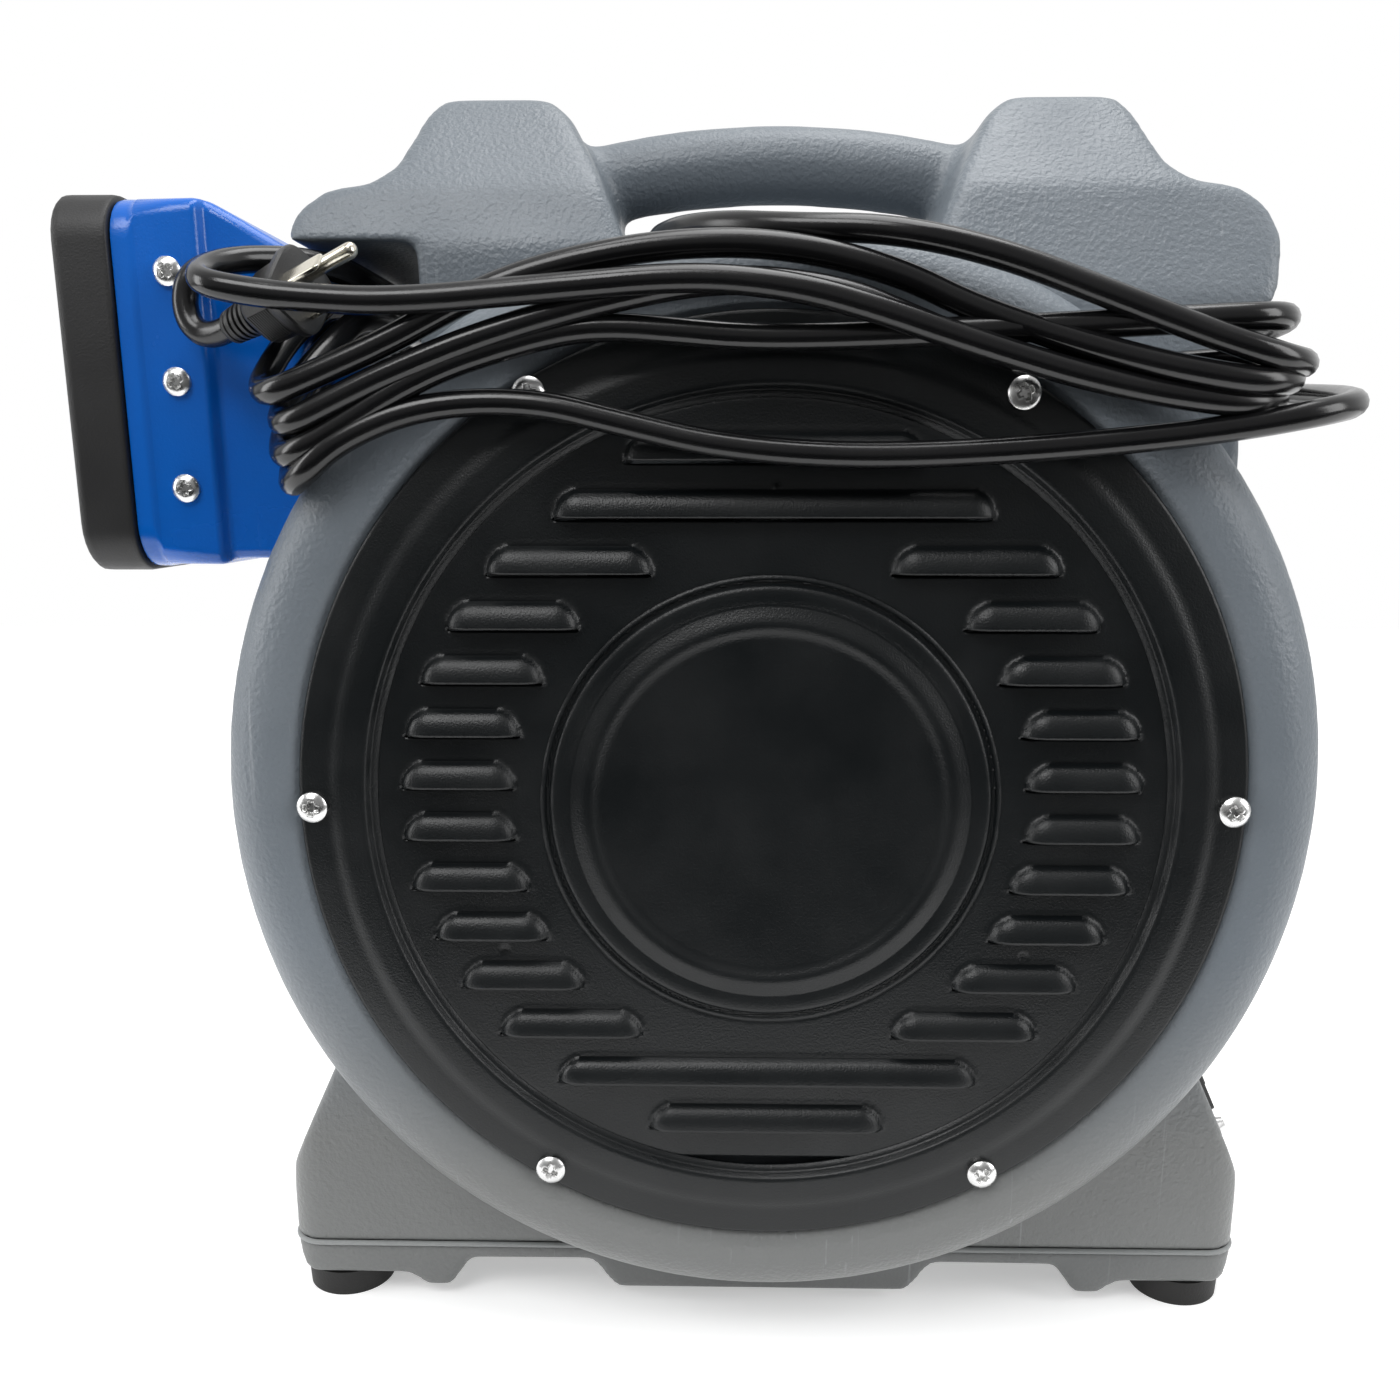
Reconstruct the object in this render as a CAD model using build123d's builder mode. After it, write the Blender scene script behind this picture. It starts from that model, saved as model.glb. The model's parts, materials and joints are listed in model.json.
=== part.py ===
"""Portable centrifugal air mover: a round drum with a side outlet, a carrying handle and a wound mains cord.

Millimetres, +Z up. The louvred cover faces -Y and the outlet faces -X. The origin is on the floor,
under the middle of the machine without its cord. Most shapes are drawn from the fan's axis:
x to the right, z up, and depth measured back from the louvred cover's front.
"""

import os
from math import cos, pi, radians, sin, tan

from build123d import *

os.makedirs("parts", exist_ok=True)

# Overall
AXIS_HEIGHT = 208  # floor to the fan's axis
BODY_DEPTH = 210  # front ring to rear ring
GRILLE_DEPTH = 217  # furthest point of the rear grille
HEAD_HEIGHT = 3  # a screw head above its seat
RIM_END = 238  # axis to the outlet's mouth
BASE_HALF = 184  # axis to the base's side
COVER_SEAT = 1.5  # depth of the flange that the cover's screws sit on
AXIS_X = (RIM_END - BASE_HALF) / 2
FRONT_Y = -(GRILLE_DEPTH + COVER_SEAT - HEAD_HEIGHT) / 2

# Drum
WALL = 4
DRUM_R = 181
RING_R = 184  # the drum's rounded front and rear rings
DRUM_INSIDE = 177
LEDGE_R = 147
COVER_R = 156.5
LEDGE_DEPTH = 5.2
MIDDLE = BODY_DEPTH / 2
HAND_FLOOR = 179.5  # flat below the handle

# Towers, shoulders and handle
TOP_X = 2  # the middle of the handle, right of the fan's axis
TOWER_TOP = 234.5
HANDLE_R = 13.5
HANDLE_TOP_Z = 218

# Outlet
DUCT_TOP = 182
DUCT_BOTTOM = 79
DUCT_FRONT = 40
DUCT_BACK = BODY_DEPTH - DUCT_FRONT
ROOT_X = -140  # where the nozzle joins the housing
MOUTH_TOP = 197.5
MOUTH_BOTTOM = 76
RIM_X = -219
SCREW_BAND_X = -211
PANEL_X = -190

# Base
SEAM_Z = -184
TRAY_BOTTOM = -198
BUMP_BOTTOM = -203
BASE_FRONT = 36
BASE_BACK = BODY_DEPTH - BASE_FRONT
CORNER_R = 12
FOOT_R = 17
FOOT_X = 165.5
FOOT_DEPTHS = (54, BODY_DEPTH - 54)

# Fan and motor
WHEEL_R = 123
WHEEL_FRONT = 40
WHEEL_BACK = 172
BLADES = 40
SHAFT_R = 6
MOTOR_R = 58
MOTOR_FRONT = 22
MOTOR_BACK = 98
RUNNING_FIT = 0.03

# Cord
CORD_R = 4.15


def at(x, depth, z):
    """A place given from the fan's axis and the cover's front."""
    return Vector(AXIS_X + x, FRONT_Y + depth, AXIS_HEIGHT + z)


def front_view(depth):
    """A plane seen from the front, with its origin on the fan's axis. Positive extrusion comes forward."""
    return Plane(origin=at(0, depth, 0), x_dir=(1, 0, 0), z_dir=(0, -1, 0))


def side_view(x):
    """A plane of (depth, z), with its origin level with the fan's axis. Positive extrusion goes to +X."""
    return Plane(origin=at(x, 0, 0), x_dir=(0, 1, 0), z_dir=(1, 0, 0))


def top_view(z):
    """A plane of (x, depth) at a height above the fan's axis."""
    return Plane(origin=at(0, 0, z), x_dir=(1, 0, 0), z_dir=(0, 0, 1))


FAN_AXIS = Axis(at(0, 0, 0), (0, 1, 0))


def turned(*section):
    """A ring or disc round the fan's axis, from the corners of its section as (depth, radius)."""
    with BuildPart() as ring:
        with BuildSketch(side_view(0)):
            Polygon(*section, align=None)
        revolve(axis=FAN_AXIS)
    return ring.part


def front_block(outline, start, end):
    """A front-view outline carried from one depth to another."""
    with BuildPart() as block:
        with BuildSketch(front_view(start)):
            Polygon(*outline, align=None)
        extrude(amount=start - end)
    return block.part


def box(x, depth, z):
    """A block between two corners, each given as a (low, high) pair."""
    with BuildPart() as block:
        with BuildSketch(top_view(z[0])):
            with Locations(((x[0] + x[1]) / 2, (depth[0] + depth[1]) / 2)):
                Rectangle(x[1] - x[0], depth[1] - depth[0])
        extrude(amount=z[1] - z[0])
    return block.part


def pegs(planes, radius, depth):
    """Cylinders going down from planes, one on each, to cut holes with."""
    with BuildPart() as group:
        with BuildSketch(*planes):
            Circle(radius)
        extrude(amount=-depth)
    return group.part


def pan_screws(planes, head_r=4.9, shank_r=2, shank=7.5):
    """Screws with tapered pan heads and cross recesses, one on each plane."""
    with BuildPart() as screws:
        with BuildSketch(*planes):
            Circle(head_r)
        extrude(amount=HEAD_HEIGHT, taper=22)
        with BuildSketch(*[plane.offset(HEAD_HEIGHT - 1.4) for plane in planes]):
            Rectangle(4.4, 1.1)
            Rectangle(1.1, 4.4)
        extrude(amount=2, mode=Mode.SUBTRACT)
        with BuildSketch(*planes):
            Circle(shank_r)
        extrude(amount=-shank)
    return screws.part


def round_the_axis(radius, count, depth, first=0, back=False):
    """Planes facing forward, or back, spaced evenly on a circle round the fan's axis."""
    face = -1 if back is False else 1
    turns = [radians(first + 360 * i / count) for i in range(count)]
    return [
        Plane(origin=at(radius * cos(t), depth, radius * sin(t)), x_dir=(1, 0, 0), z_dir=(0, face, 0))
        for t in turns
    ]


def save(part, name):
    part.label = name
    export_step(part, f"parts/{name}.step")


COVER_SCREWS = round_the_axis(152, 6, COVER_SEAT)
GRILLE_SCREWS = round_the_axis(152, 6, BODY_DEPTH - COVER_SEAT, back=True)

# ---------------------------------------------------------------- housing
# The skirt is the part of the base above its seam. Its right flank slopes for the control plate.
FLANK_TOP = (156, -96.5)
FLANK_FOOT = (182, -152)
SKIRT = [(-156, -96.5), (-182, -152), (-BASE_HALF, -162), (-BASE_HALF, SEAM_Z),
         (BASE_HALF, SEAM_Z), (BASE_HALF, -162), FLANK_FOOT, FLANK_TOP]
SKIRT_INSIDE = [(-158, -110), (-177, -152), (-BASE_HALF + WALL, -162), (-BASE_HALF + WALL, SEAM_Z + WALL),
                (BASE_HALF - WALL, SEAM_Z + WALL), (BASE_HALF - WALL, -162), (177, -152), (158, -110)]

flank_normal = Vector(FLANK_TOP[1] - FLANK_FOOT[1], 0, FLANK_FOOT[0] - FLANK_TOP[0]).normalized()
PLATE_CENTRE = (169.6, MIDDLE, -125.5)
plate_on_flank = Vector(PLATE_CENTRE[0], 0, PLATE_CENTRE[2]) - Vector(FLANK_TOP[0], 0, FLANK_TOP[1])
plate_gap = plate_on_flank.dot(flank_normal)
control_plane = Plane(
    origin=at(*PLATE_CENTRE) - flank_normal * plate_gap, x_dir=(0, 1, 0), z_dir=flank_normal
)
SWITCH_AT = (-31, 0)
BREAKER_AT = (1, 0)
GLAND_AT = (32, 0)
PLATE_SIZE = (108, 44)
PLATE_THICK = 1.6
SWITCH_HOLE = (27, 21.6)
BREAKER_HOLE_R = 5.8
GLAND_HOLE_R = 8
PLATE_SCREWS = [
    Plane(origin=control_plane.from_local_coords(Vector(x, y, PLATE_THICK)), x_dir=(0, 1, 0), z_dir=flank_normal)
    for x in (-49, 49) for y in (-17, 17)
]

with BuildPart() as skirt:
    add(front_block(SKIRT, BASE_FRONT, BASE_BACK))
    fillet(skirt.edges().filter_by(Axis.Z), CORNER_R)
    add(front_block(SKIRT_INSIDE, BASE_FRONT + WALL, BASE_BACK - WALL), mode=Mode.SUBTRACT)

# The duct narrows to a neck beside the drum, which leaves a channel for the cord under the left shoulder.
CHANNEL_X = -118
NECK_FRONT, NECK_BACK = 58, BODY_DEPTH - 58
NECK_TOP = 145
DUCT_INSIDE = [(CHANNEL_X + WALL, DUCT_BOTTOM + WALL), (CHANNEL_X + WALL, DUCT_TOP - WALL),
               (-62, DUCT_TOP - WALL), (-40, 171), (-40, DUCT_BOTTOM + WALL)]
neck_inside = box((ROOT_X - 30, -100), (NECK_FRONT + WALL, NECK_BACK - WALL), (DUCT_BOTTOM + WALL, NECK_TOP - WALL))
with BuildPart() as duct_root:
    add(box((CHANNEL_X, -40), (DUCT_FRONT, DUCT_BACK), (DUCT_BOTTOM, DUCT_TOP)))
    add(box((ROOT_X, -100), (NECK_FRONT, NECK_BACK), (DUCT_BOTTOM, NECK_TOP)))

with BuildPart() as housing:
    with BuildSketch(side_view(0)):
        with BuildLine():
            Polyline((LEDGE_DEPTH, LEDGE_R), (LEDGE_DEPTH, 158), (2.5, 158))
            ThreePointArc((2.5, 158), (2.8, 173.4), (14, RING_R))
            Polyline((14, RING_R), (22, 183.4), (30, DRUM_R), (BODY_DEPTH - 30, DRUM_R),
                     (BODY_DEPTH - 22, 183.4), (BODY_DEPTH - 14, RING_R))
            ThreePointArc((BODY_DEPTH - 14, RING_R), (BODY_DEPTH - 2.8, 173.4), (BODY_DEPTH - 2.5, 158))
            Polyline((BODY_DEPTH - 2.5, 158), (BODY_DEPTH - LEDGE_DEPTH, 158),
                     (BODY_DEPTH - LEDGE_DEPTH, LEDGE_R), (BODY_DEPTH - 9.5, LEDGE_R),
                     (BODY_DEPTH - 9.5, DRUM_INSIDE), (9.5, DRUM_INSIDE), (9.5, LEDGE_R),
                     (LEDGE_DEPTH, LEDGE_R))
        make_face()
    revolve(axis=FAN_AXIS)
    add(skirt.part)
    add(duct_root.part)
    add(turned((9.5, 0), (BODY_DEPTH - 9.5, 0), (BODY_DEPTH - 9.5, DRUM_INSIDE), (9.5, DRUM_INSIDE)),
        mode=Mode.SUBTRACT)
    # the air's way out, and the flat under the hand
    add(front_block(DUCT_INSIDE, DUCT_FRONT + WALL, DUCT_BACK - WALL), mode=Mode.SUBTRACT)
    add(neck_inside, mode=Mode.SUBTRACT)
    add(box((TOP_X - 54, TOP_X + 54), (-5, BODY_DEPTH + 5), (HAND_FLOOR, HAND_FLOOR + 20)), mode=Mode.SUBTRACT)
    add(pegs(COVER_SCREWS + GRILLE_SCREWS, 2, 14), mode=Mode.SUBTRACT)
    with BuildSketch(control_plane):
        with Locations(SWITCH_AT):
            Rectangle(*SWITCH_HOLE)
        with Locations(BREAKER_AT):
            Circle(BREAKER_HOLE_R)
        with Locations(GLAND_AT):
            Circle(GLAND_HOLE_R)
    extrude(amount=-12, mode=Mode.SUBTRACT)
    add(pegs(PLATE_SCREWS, 1.5, 10), mode=Mode.SUBTRACT)
save(housing.part, "housing")

# ---------------------------------------------------------------- towers and handle
# The faces of the towers lean in towards the handle, as seen from the side.
LEAN = [(28, 90), (34, 165), (48, 200), (78, 236), (BODY_DEPTH - 78, 236),
        (BODY_DEPTH - 48, 200), (BODY_DEPTH - 34, 165), (BODY_DEPTH - 28, 90)]
TOWER_HALF = [(51, DUCT_TOP + 0.5), (61, 208), (71, 227), (78, TOWER_TOP - 1), (82, TOWER_TOP), (113, TOWER_TOP),
              (117, TOWER_TOP - 1.5), (121, 228), (129, 208), (137, 202), (151, 200), (160, 193), (164, 184)]
LEFT_TOWER = [(TOP_X - x, z) for x, z in TOWER_HALF] + [(-161, DUCT_TOP + 0.5)]
RIGHT_TOWER = [(TOP_X + x, z) for x, z in TOWER_HALF] + [(165, 167), (159, 158), (154.5, 148), (154.5, 97), (60, 97)]


def tower_block(outline, inset):
    """A tower and shoulder from its front outline, leaning in towards the top, smaller all round by inset."""
    with BuildPart() as block:
        with BuildSketch(front_view(0)):
            Polygon(*outline, align=None)
            if inset:
                offset(amount=-inset)
        extrude(amount=-BODY_DEPTH)
        with BuildSketch(side_view(0)):
            Polygon(*LEAN, align=None)
            if inset:
                offset(amount=-inset)
        extrude(amount=BASE_HALF, both=True, mode=Mode.INTERSECT)
    return block.part


ring_clearance = turned((-1, 0), (BODY_DEPTH, 0), (BODY_DEPTH, RING_R + 0.2), (-1, RING_R + 0.2))

with BuildPart() as handle_bar:
    with BuildLine() as handle_arc:
        ThreePointArc(at(TOP_X - 66, MIDDLE, HANDLE_TOP_Z - 7), at(TOP_X, MIDDLE, HANDLE_TOP_Z),
                      at(TOP_X + 66, MIDDLE, HANDLE_TOP_Z - 7))
    with BuildSketch(Plane(origin=handle_arc.line @ 0, z_dir=handle_arc.line % 0)):
        Circle(HANDLE_R)
    sweep()
save(handle_bar.part, "handle_bar")

with BuildPart() as left_tower:
    add(tower_block(LEFT_TOWER, 0))
    add(tower_block(LEFT_TOWER, WALL), mode=Mode.SUBTRACT)
    add(handle_bar.part, mode=Mode.SUBTRACT)
save(left_tower.part, "left_tower")

with BuildPart() as right_tower:
    add(tower_block(RIGHT_TOWER, 0))
    add(tower_block(RIGHT_TOWER, WALL), mode=Mode.SUBTRACT)
    add(ring_clearance, mode=Mode.SUBTRACT)
    add(handle_bar.part, mode=Mode.SUBTRACT)
save(right_tower.part, "right_tower")

# ---------------------------------------------------------------- base
# The tray closes the skirt from below. Its hollows take the tower tops of another machine.
TRAY = [(-BASE_HALF, SEAM_Z), (-181, TRAY_BOTTOM + 3), (-178, TRAY_BOTTOM), (-138, TRAY_BOTTOM),
        (-132, BUMP_BOTTOM), (-122, BUMP_BOTTOM), (-114, -191.5), (-66, -191), (-57, BUMP_BOTTOM)]
TRAY_OUTLINE = TRAY + [(-x, z) for x, z in reversed(TRAY)]
TRAY_INSIDE = [(-BASE_HALF + WALL, SEAM_Z + 1), (-177, TRAY_BOTTOM + WALL), (-130, TRAY_BOTTOM + WALL),
               (-112, -187.5), (-64, -187), (-54, TRAY_BOTTOM + WALL)]
TRAY_INSIDE_OUTLINE = TRAY_INSIDE + [(-x, z) for x, z in reversed(TRAY_INSIDE)]
FOOT_HEIGHT = AXIS_HEIGHT + TRAY_BOTTOM
FEET = {
    f"foot_{end}_{side}": (x, depth)
    for end, depth in zip(("front", "rear"), FOOT_DEPTHS)
    for side, x in (("left", -FOOT_X), ("right", FOOT_X))
}

foot_planes = [Plane(origin=at(x, depth, -AXIS_HEIGHT + 5), z_dir=(0, 0, -1)) for x, depth in FEET.values()]
with BuildPart() as base_tray:
    add(front_block(TRAY_OUTLINE, BASE_FRONT, BASE_BACK))
    with BuildSketch(top_view(BUMP_BOTTOM)):
        with Locations((0, MIDDLE)):
            RectangleRounded(2 * BASE_HALF, BASE_BACK - BASE_FRONT, CORNER_R)
    extrude(amount=30, mode=Mode.INTERSECT)
    add(front_block(TRAY_INSIDE_OUTLINE, BASE_FRONT + WALL, BASE_BACK - WALL), mode=Mode.SUBTRACT)
    add(turned((0, 0), (BODY_DEPTH, 0), (BODY_DEPTH, RING_R + 0.3), (0, RING_R + 0.3)), mode=Mode.SUBTRACT)
    add(pegs(foot_planes, 2.2, 30), mode=Mode.SUBTRACT)
save(base_tray.part, "base_tray")

for name, (x, depth) in FEET.items():
    with BuildPart() as foot:
        with BuildSketch(Plane(origin=at(x, depth, TRAY_BOTTOM), z_dir=(0, 0, -1))):
            Circle(FOOT_R)
        extrude(amount=FOOT_HEIGHT, taper=3)
        add(pegs([Plane(origin=at(x, depth, -AXIS_HEIGHT), z_dir=(0, 0, -1))], 5.5, 5), mode=Mode.SUBTRACT)
        add(pegs([Plane(origin=at(x, depth, -AXIS_HEIGHT), z_dir=(0, 0, -1))], 2.2, 20), mode=Mode.SUBTRACT)
    save(foot.part, name)
save(pan_screws(foot_planes, head_r=4.9, shank_r=2.1, shank=11), "foot_screws")

# ---------------------------------------------------------------- louvred cover
# Each row of louvres is its height above the axis and where its hoods begin and end to the right.
LOUVRE_PITCH = 17.5
HOOD_HEIGHT = 8
HOOD_PROUD = 4.5
PANEL_DEPTH = 3.5
HOOD_ROWS = [(-47, 47), (-69.5, 69.5), (38, 91.5), (62, 105), (74, 114), (82, 120), (84, 122.4),
             (84.7, 122.2), (80.5, 120.2), (74.7, 113), (63, 104.8), (43, 92), (-72.5, 72.5), (-40.7, 40.7)]
FIRST_HOOD_Z = 111.6


def hood_sketch(plane, inset):
    """The fronts of all the hoods on a plane, each smaller by inset at its ends and top."""
    with BuildSketch(plane) as hoods:
        for row, (start, end) in enumerate(HOOD_ROWS):
            bottom = FIRST_HOOD_Z - row * LOUVRE_PITCH
            height = HOOD_HEIGHT - inset
            sides = [1] if start < 0 else [1, -1]
            for side in sides:
                with Locations(((start + end) / 2 * side, bottom + height / 2)):
                    Rectangle(end - start - 2 * inset, height)
        tops = hoods.vertices().filter_by(lambda v: round((v.Y - FIRST_HOOD_Z) % LOUVRE_PITCH, 1) > 1)
        fillet(tops, HOOD_HEIGHT / 2 - inset)
    return hoods.sketch


with BuildPart() as front_cover:
    add(turned((3, 0), (3, 57), (1, 59.5), (1, 61), (3, 73), (PANEL_DEPTH, 75), (PANEL_DEPTH, 132), (0, 134),
               (0, 143.5), (COVER_SEAT, 144.5), (COVER_SEAT, COVER_R), (LEDGE_DEPTH, COVER_R),
               (LEDGE_DEPTH, 146), (3.2, 143), (3.2, 136), (6.5, 133), (6.5, 0)))
    extrude(hood_sketch(front_view(PANEL_DEPTH), 0), amount=HOOD_PROUD, taper=12)
    extrude(hood_sketch(front_view(PANEL_DEPTH), 1.6), amount=HOOD_PROUD - 1.8, taper=12, mode=Mode.SUBTRACT)
    extrude(hood_sketch(front_view(PANEL_DEPTH), 2.6), amount=-4, mode=Mode.SUBTRACT)
    add(pegs(COVER_SCREWS, 2.3, 6), mode=Mode.SUBTRACT)
save(front_cover.part, "front_cover")
save(pan_screws(COVER_SCREWS), "cover_screws")

# ---------------------------------------------------------------- rear grille and air inlets
GRILLE_RINGS = 6
SLOT_WIDTH = 15
RING_PITCH = 21.5
SPOKE = 6
grille_back = BODY_DEPTH - COVER_SEAT
with BuildPart() as rear_grille:
    add(turned((GRILLE_DEPTH, 0), (GRILLE_DEPTH - 1, 70), (BODY_DEPTH + 2, 125), (grille_back, 144),
               (grille_back, COVER_R), (BODY_DEPTH - LEDGE_DEPTH, COVER_R), (BODY_DEPTH - LEDGE_DEPTH, 140),
               (BODY_DEPTH - 2, 122), (GRILLE_DEPTH - 5, 69), (GRILLE_DEPTH - 4, 0)))
    with BuildSketch(front_view(GRILLE_DEPTH + 1)):
        for ring in reversed(range(GRILLE_RINGS)):
            inner = 12 + ring * RING_PITCH
            Circle(inner + SLOT_WIDTH)
            Circle(inner, mode=Mode.SUBTRACT)
        with PolarLocations(0, 6):
            Rectangle(2 * COVER_R, SPOKE, mode=Mode.SUBTRACT)
    extrude(amount=20, mode=Mode.SUBTRACT)
    add(pegs(GRILLE_SCREWS, 2.3, 6), mode=Mode.SUBTRACT)
save(rear_grille.part, "rear_grille")
save(pan_screws(GRILLE_SCREWS), "grille_screws")

INLET = [(12.2, 176), (12.2, 120), (24, 108.5), (36, 106), (36, 109), (25, 111.5), (15.2, 122), (15.2, 176)]
save(turned(*INLET), "front_inlet_ring")
save(turned(*[(BODY_DEPTH + 2.7 - depth, r) for depth, r in INLET]), "rear_inlet_ring")

# ---------------------------------------------------------------- nozzle
# A collar at the mouth, a band with the screws in it, and a set-back panel whose end wall is a flange.
# A neck joins the flange to the housing's neck.
COLLAR_FRONT = DUCT_FRONT - 1
BAND_FRONT = DUCT_FRONT + 0.5
PANEL_FRONT = DUCT_FRONT + 5
SLOPE_X = -187
SLOPE_FOOT_X = -162.5
FLANGE_X = -158
drum_clearance = turned((5, 0), (BODY_DEPTH - 5, 0), (BODY_DEPTH - 5, DRUM_R + 0.2), (5, DRUM_R + 0.2))
NOZZLE_SCREWS = [
    Plane(origin=at(-200.5, depth, z), x_dir=(1, 0, 0), z_dir=(0, face, 0))
    for depth, face in ((BAND_FRONT, -1), (BODY_DEPTH - BAND_FRONT, 1))
    for z in (173, 138, 103)
]
nozzle_band = box((SCREW_BAND_X, PANEL_X), (BAND_FRONT, BODY_DEPTH - BAND_FRONT),
                  (MOUTH_BOTTOM + 1, MOUTH_TOP - 1))
nozzle_panel = front_block(
    [(PANEL_X, MOUTH_BOTTOM + 1), (PANEL_X, MOUTH_TOP - 1), (SLOPE_X, MOUTH_TOP - 1),
     (SLOPE_FOOT_X, DUCT_TOP), (FLANGE_X, DUCT_TOP - 3), (FLANGE_X, DUCT_BOTTOM)],
    PANEL_FRONT, BODY_DEPTH - PANEL_FRONT)
nozzle_inside = front_block(
    [(RIM_X, MOUTH_BOTTOM + 8), (RIM_X, MOUTH_TOP - 8), (SLOPE_X - 3, MOUTH_TOP - 8),
     (SLOPE_FOOT_X - 2, DUCT_TOP - WALL), (FLANGE_X - WALL, DUCT_TOP - 3 - WALL),
     (FLANGE_X - WALL, DUCT_BOTTOM + WALL)],
    PANEL_FRONT + WALL, BODY_DEPTH - PANEL_FRONT - WALL)
with BuildPart() as nozzle_duct:
    with BuildSketch(side_view(RIM_X)):
        with Locations((MIDDLE, (MOUTH_TOP + MOUTH_BOTTOM) / 2)):
            RectangleRounded(BODY_DEPTH - 2 * COLLAR_FRONT, MOUTH_TOP - MOUTH_BOTTOM, 15)
    extrude(amount=SCREW_BAND_X - RIM_X)
    add(nozzle_band)
    add(nozzle_panel)
    add(box((FLANGE_X, ROOT_X - 0.2), (NECK_FRONT, NECK_BACK), (DUCT_BOTTOM, NECK_TOP)))
    add(nozzle_inside, mode=Mode.SUBTRACT)
    add(neck_inside, mode=Mode.SUBTRACT)
    add(drum_clearance, mode=Mode.SUBTRACT)
    add(pegs(NOZZLE_SCREWS, 1.6, 7), mode=Mode.SUBTRACT)
save(nozzle_duct.part, "nozzle_duct")
save(pan_screws(NOZZLE_SCREWS, head_r=4.6, shank_r=1.6, shank=7), "nozzle_screws")

RIM_GROW = 1.5
RIM_WALL = 9
with BuildPart() as nozzle_rim:
    with BuildSketch(side_view(-RIM_END)):
        with Locations((MIDDLE, (MOUTH_TOP + MOUTH_BOTTOM) / 2)):
            RectangleRounded(BODY_DEPTH - 2 * (COLLAR_FRONT - RIM_GROW),
                             MOUTH_TOP - MOUTH_BOTTOM + 2 * RIM_GROW, 16.5)
            RectangleRounded(BODY_DEPTH - 2 * (COLLAR_FRONT + RIM_WALL),
                             MOUTH_TOP - MOUTH_BOTTOM - 2 * RIM_WALL, 8, mode=Mode.SUBTRACT)
    extrude(amount=RIM_X + RIM_END)
save(nozzle_rim.part, "nozzle_rim")

GUARD_X = -214
GUARD_ROD_R = 1.3
guard_low, guard_high = MOUTH_BOTTOM + 8, MOUTH_TOP - 8
with BuildPart() as outlet_guard:
    with BuildSketch(front_view(PANEL_FRONT + WALL)):
        with GridLocations(0, (guard_high - guard_low) / 8, 1, 7):
            with Locations((GUARD_X, (guard_low + guard_high) / 2)):
                Circle(GUARD_ROD_R)
    extrude(amount=2 * (PANEL_FRONT + WALL) - BODY_DEPTH)
    with BuildSketch(top_view(guard_low)):
        with Locations(*[(GUARD_X, MIDDLE + side) for side in (-26, 26)]):
            Circle(GUARD_ROD_R + 0.2)
    extrude(amount=guard_high - guard_low)
save(outlet_guard.part, "outlet_guard")

# ---------------------------------------------------------------- motor
SHAFT_END = 148
ROTOR_R = 34.4
STATOR = (34, 86)
BELL_R = 30
with BuildPart() as motor_bracket:
    with BuildSketch(front_view(9.5)):
        Circle(174)
        Circle(146, mode=Mode.SUBTRACT)
        Circle(50)
        with PolarLocations(100, 4, start_angle=45):
            Rectangle(104, 22)
        Circle(20, mode=Mode.SUBTRACT)
        with PolarLocations(40, 4, start_angle=45):
            Circle(2.6, mode=Mode.SUBTRACT)
        with PolarLocations(152, 6):
            Circle(3, mode=Mode.SUBTRACT)
    extrude(amount=-2.5)
save(motor_bracket.part, "motor_bracket")

bracket_planes = round_the_axis(40, 4, 9.5, first=45)
with BuildPart() as motor_front_bell:
    add(turned((12, 20), (12, 50), (MOTOR_FRONT, MOTOR_R), (MOTOR_FRONT, 20.5), (17, 20.5), (17, 18), (24, 18),
               (24, 15), (14, 15), (14, 20)))
    add(pegs(bracket_planes, 2.4, 8), mode=Mode.SUBTRACT)
save(motor_front_bell.part, "motor_front_bell")
save(turned((MOTOR_FRONT, MOTOR_R), (MOTOR_BACK, MOTOR_R), (MOTOR_BACK, MOTOR_R - 2),
            (MOTOR_FRONT, MOTOR_R - 2)), "motor_shell")
save(turned((MOTOR_BACK, 15), (MOTOR_BACK, MOTOR_R), (MOTOR_BACK + 8, 48), (MOTOR_BACK + 12, 20),
            (MOTOR_BACK + 12, 10), (MOTOR_BACK + 10, 10), (MOTOR_BACK + 10, 15)), "motor_rear_bell")
for name, start in (("front_bearing", 15), ("rear_bearing", MOTOR_BACK + 1)):
    save(turned((start, SHAFT_R + RUNNING_FIT), (start, 15), (start + 8, 15),
                (start + 8, SHAFT_R + RUNNING_FIT)), name)
with BuildPart() as stator_core:
    with BuildSketch(front_view(STATOR[0])):
        Circle(MOTOR_R - 2)
        Circle(ROTOR_R + 0.6, mode=Mode.SUBTRACT)
        with PolarLocations(43, 24):
            RectangleRounded(13, 5.4, 2.4, mode=Mode.SUBTRACT)
    extrude(amount=STATOR[0] - STATOR[1])
save(stator_core.part, "stator_core")
for name, start in (("front_windings", 26), ("rear_windings", STATOR[1])):
    save(turned((start, 38), (start, 51), (start + 8, 51), (start + 8, 38)), name)
save(turned((STATOR[0] - 2, SHAFT_R), (STATOR[0] - 2, ROTOR_R), (STATOR[1] + 2, ROTOR_R),
            (STATOR[1] + 2, SHAFT_R)), "rotor_core")
save(turned((15, 0), (15, SHAFT_R), (SHAFT_END, SHAFT_R), (SHAFT_END, 0)), "motor_shaft")
save(pan_screws(bracket_planes, head_r=5, shank_r=2.4, shank=6), "motor_screws")

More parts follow.
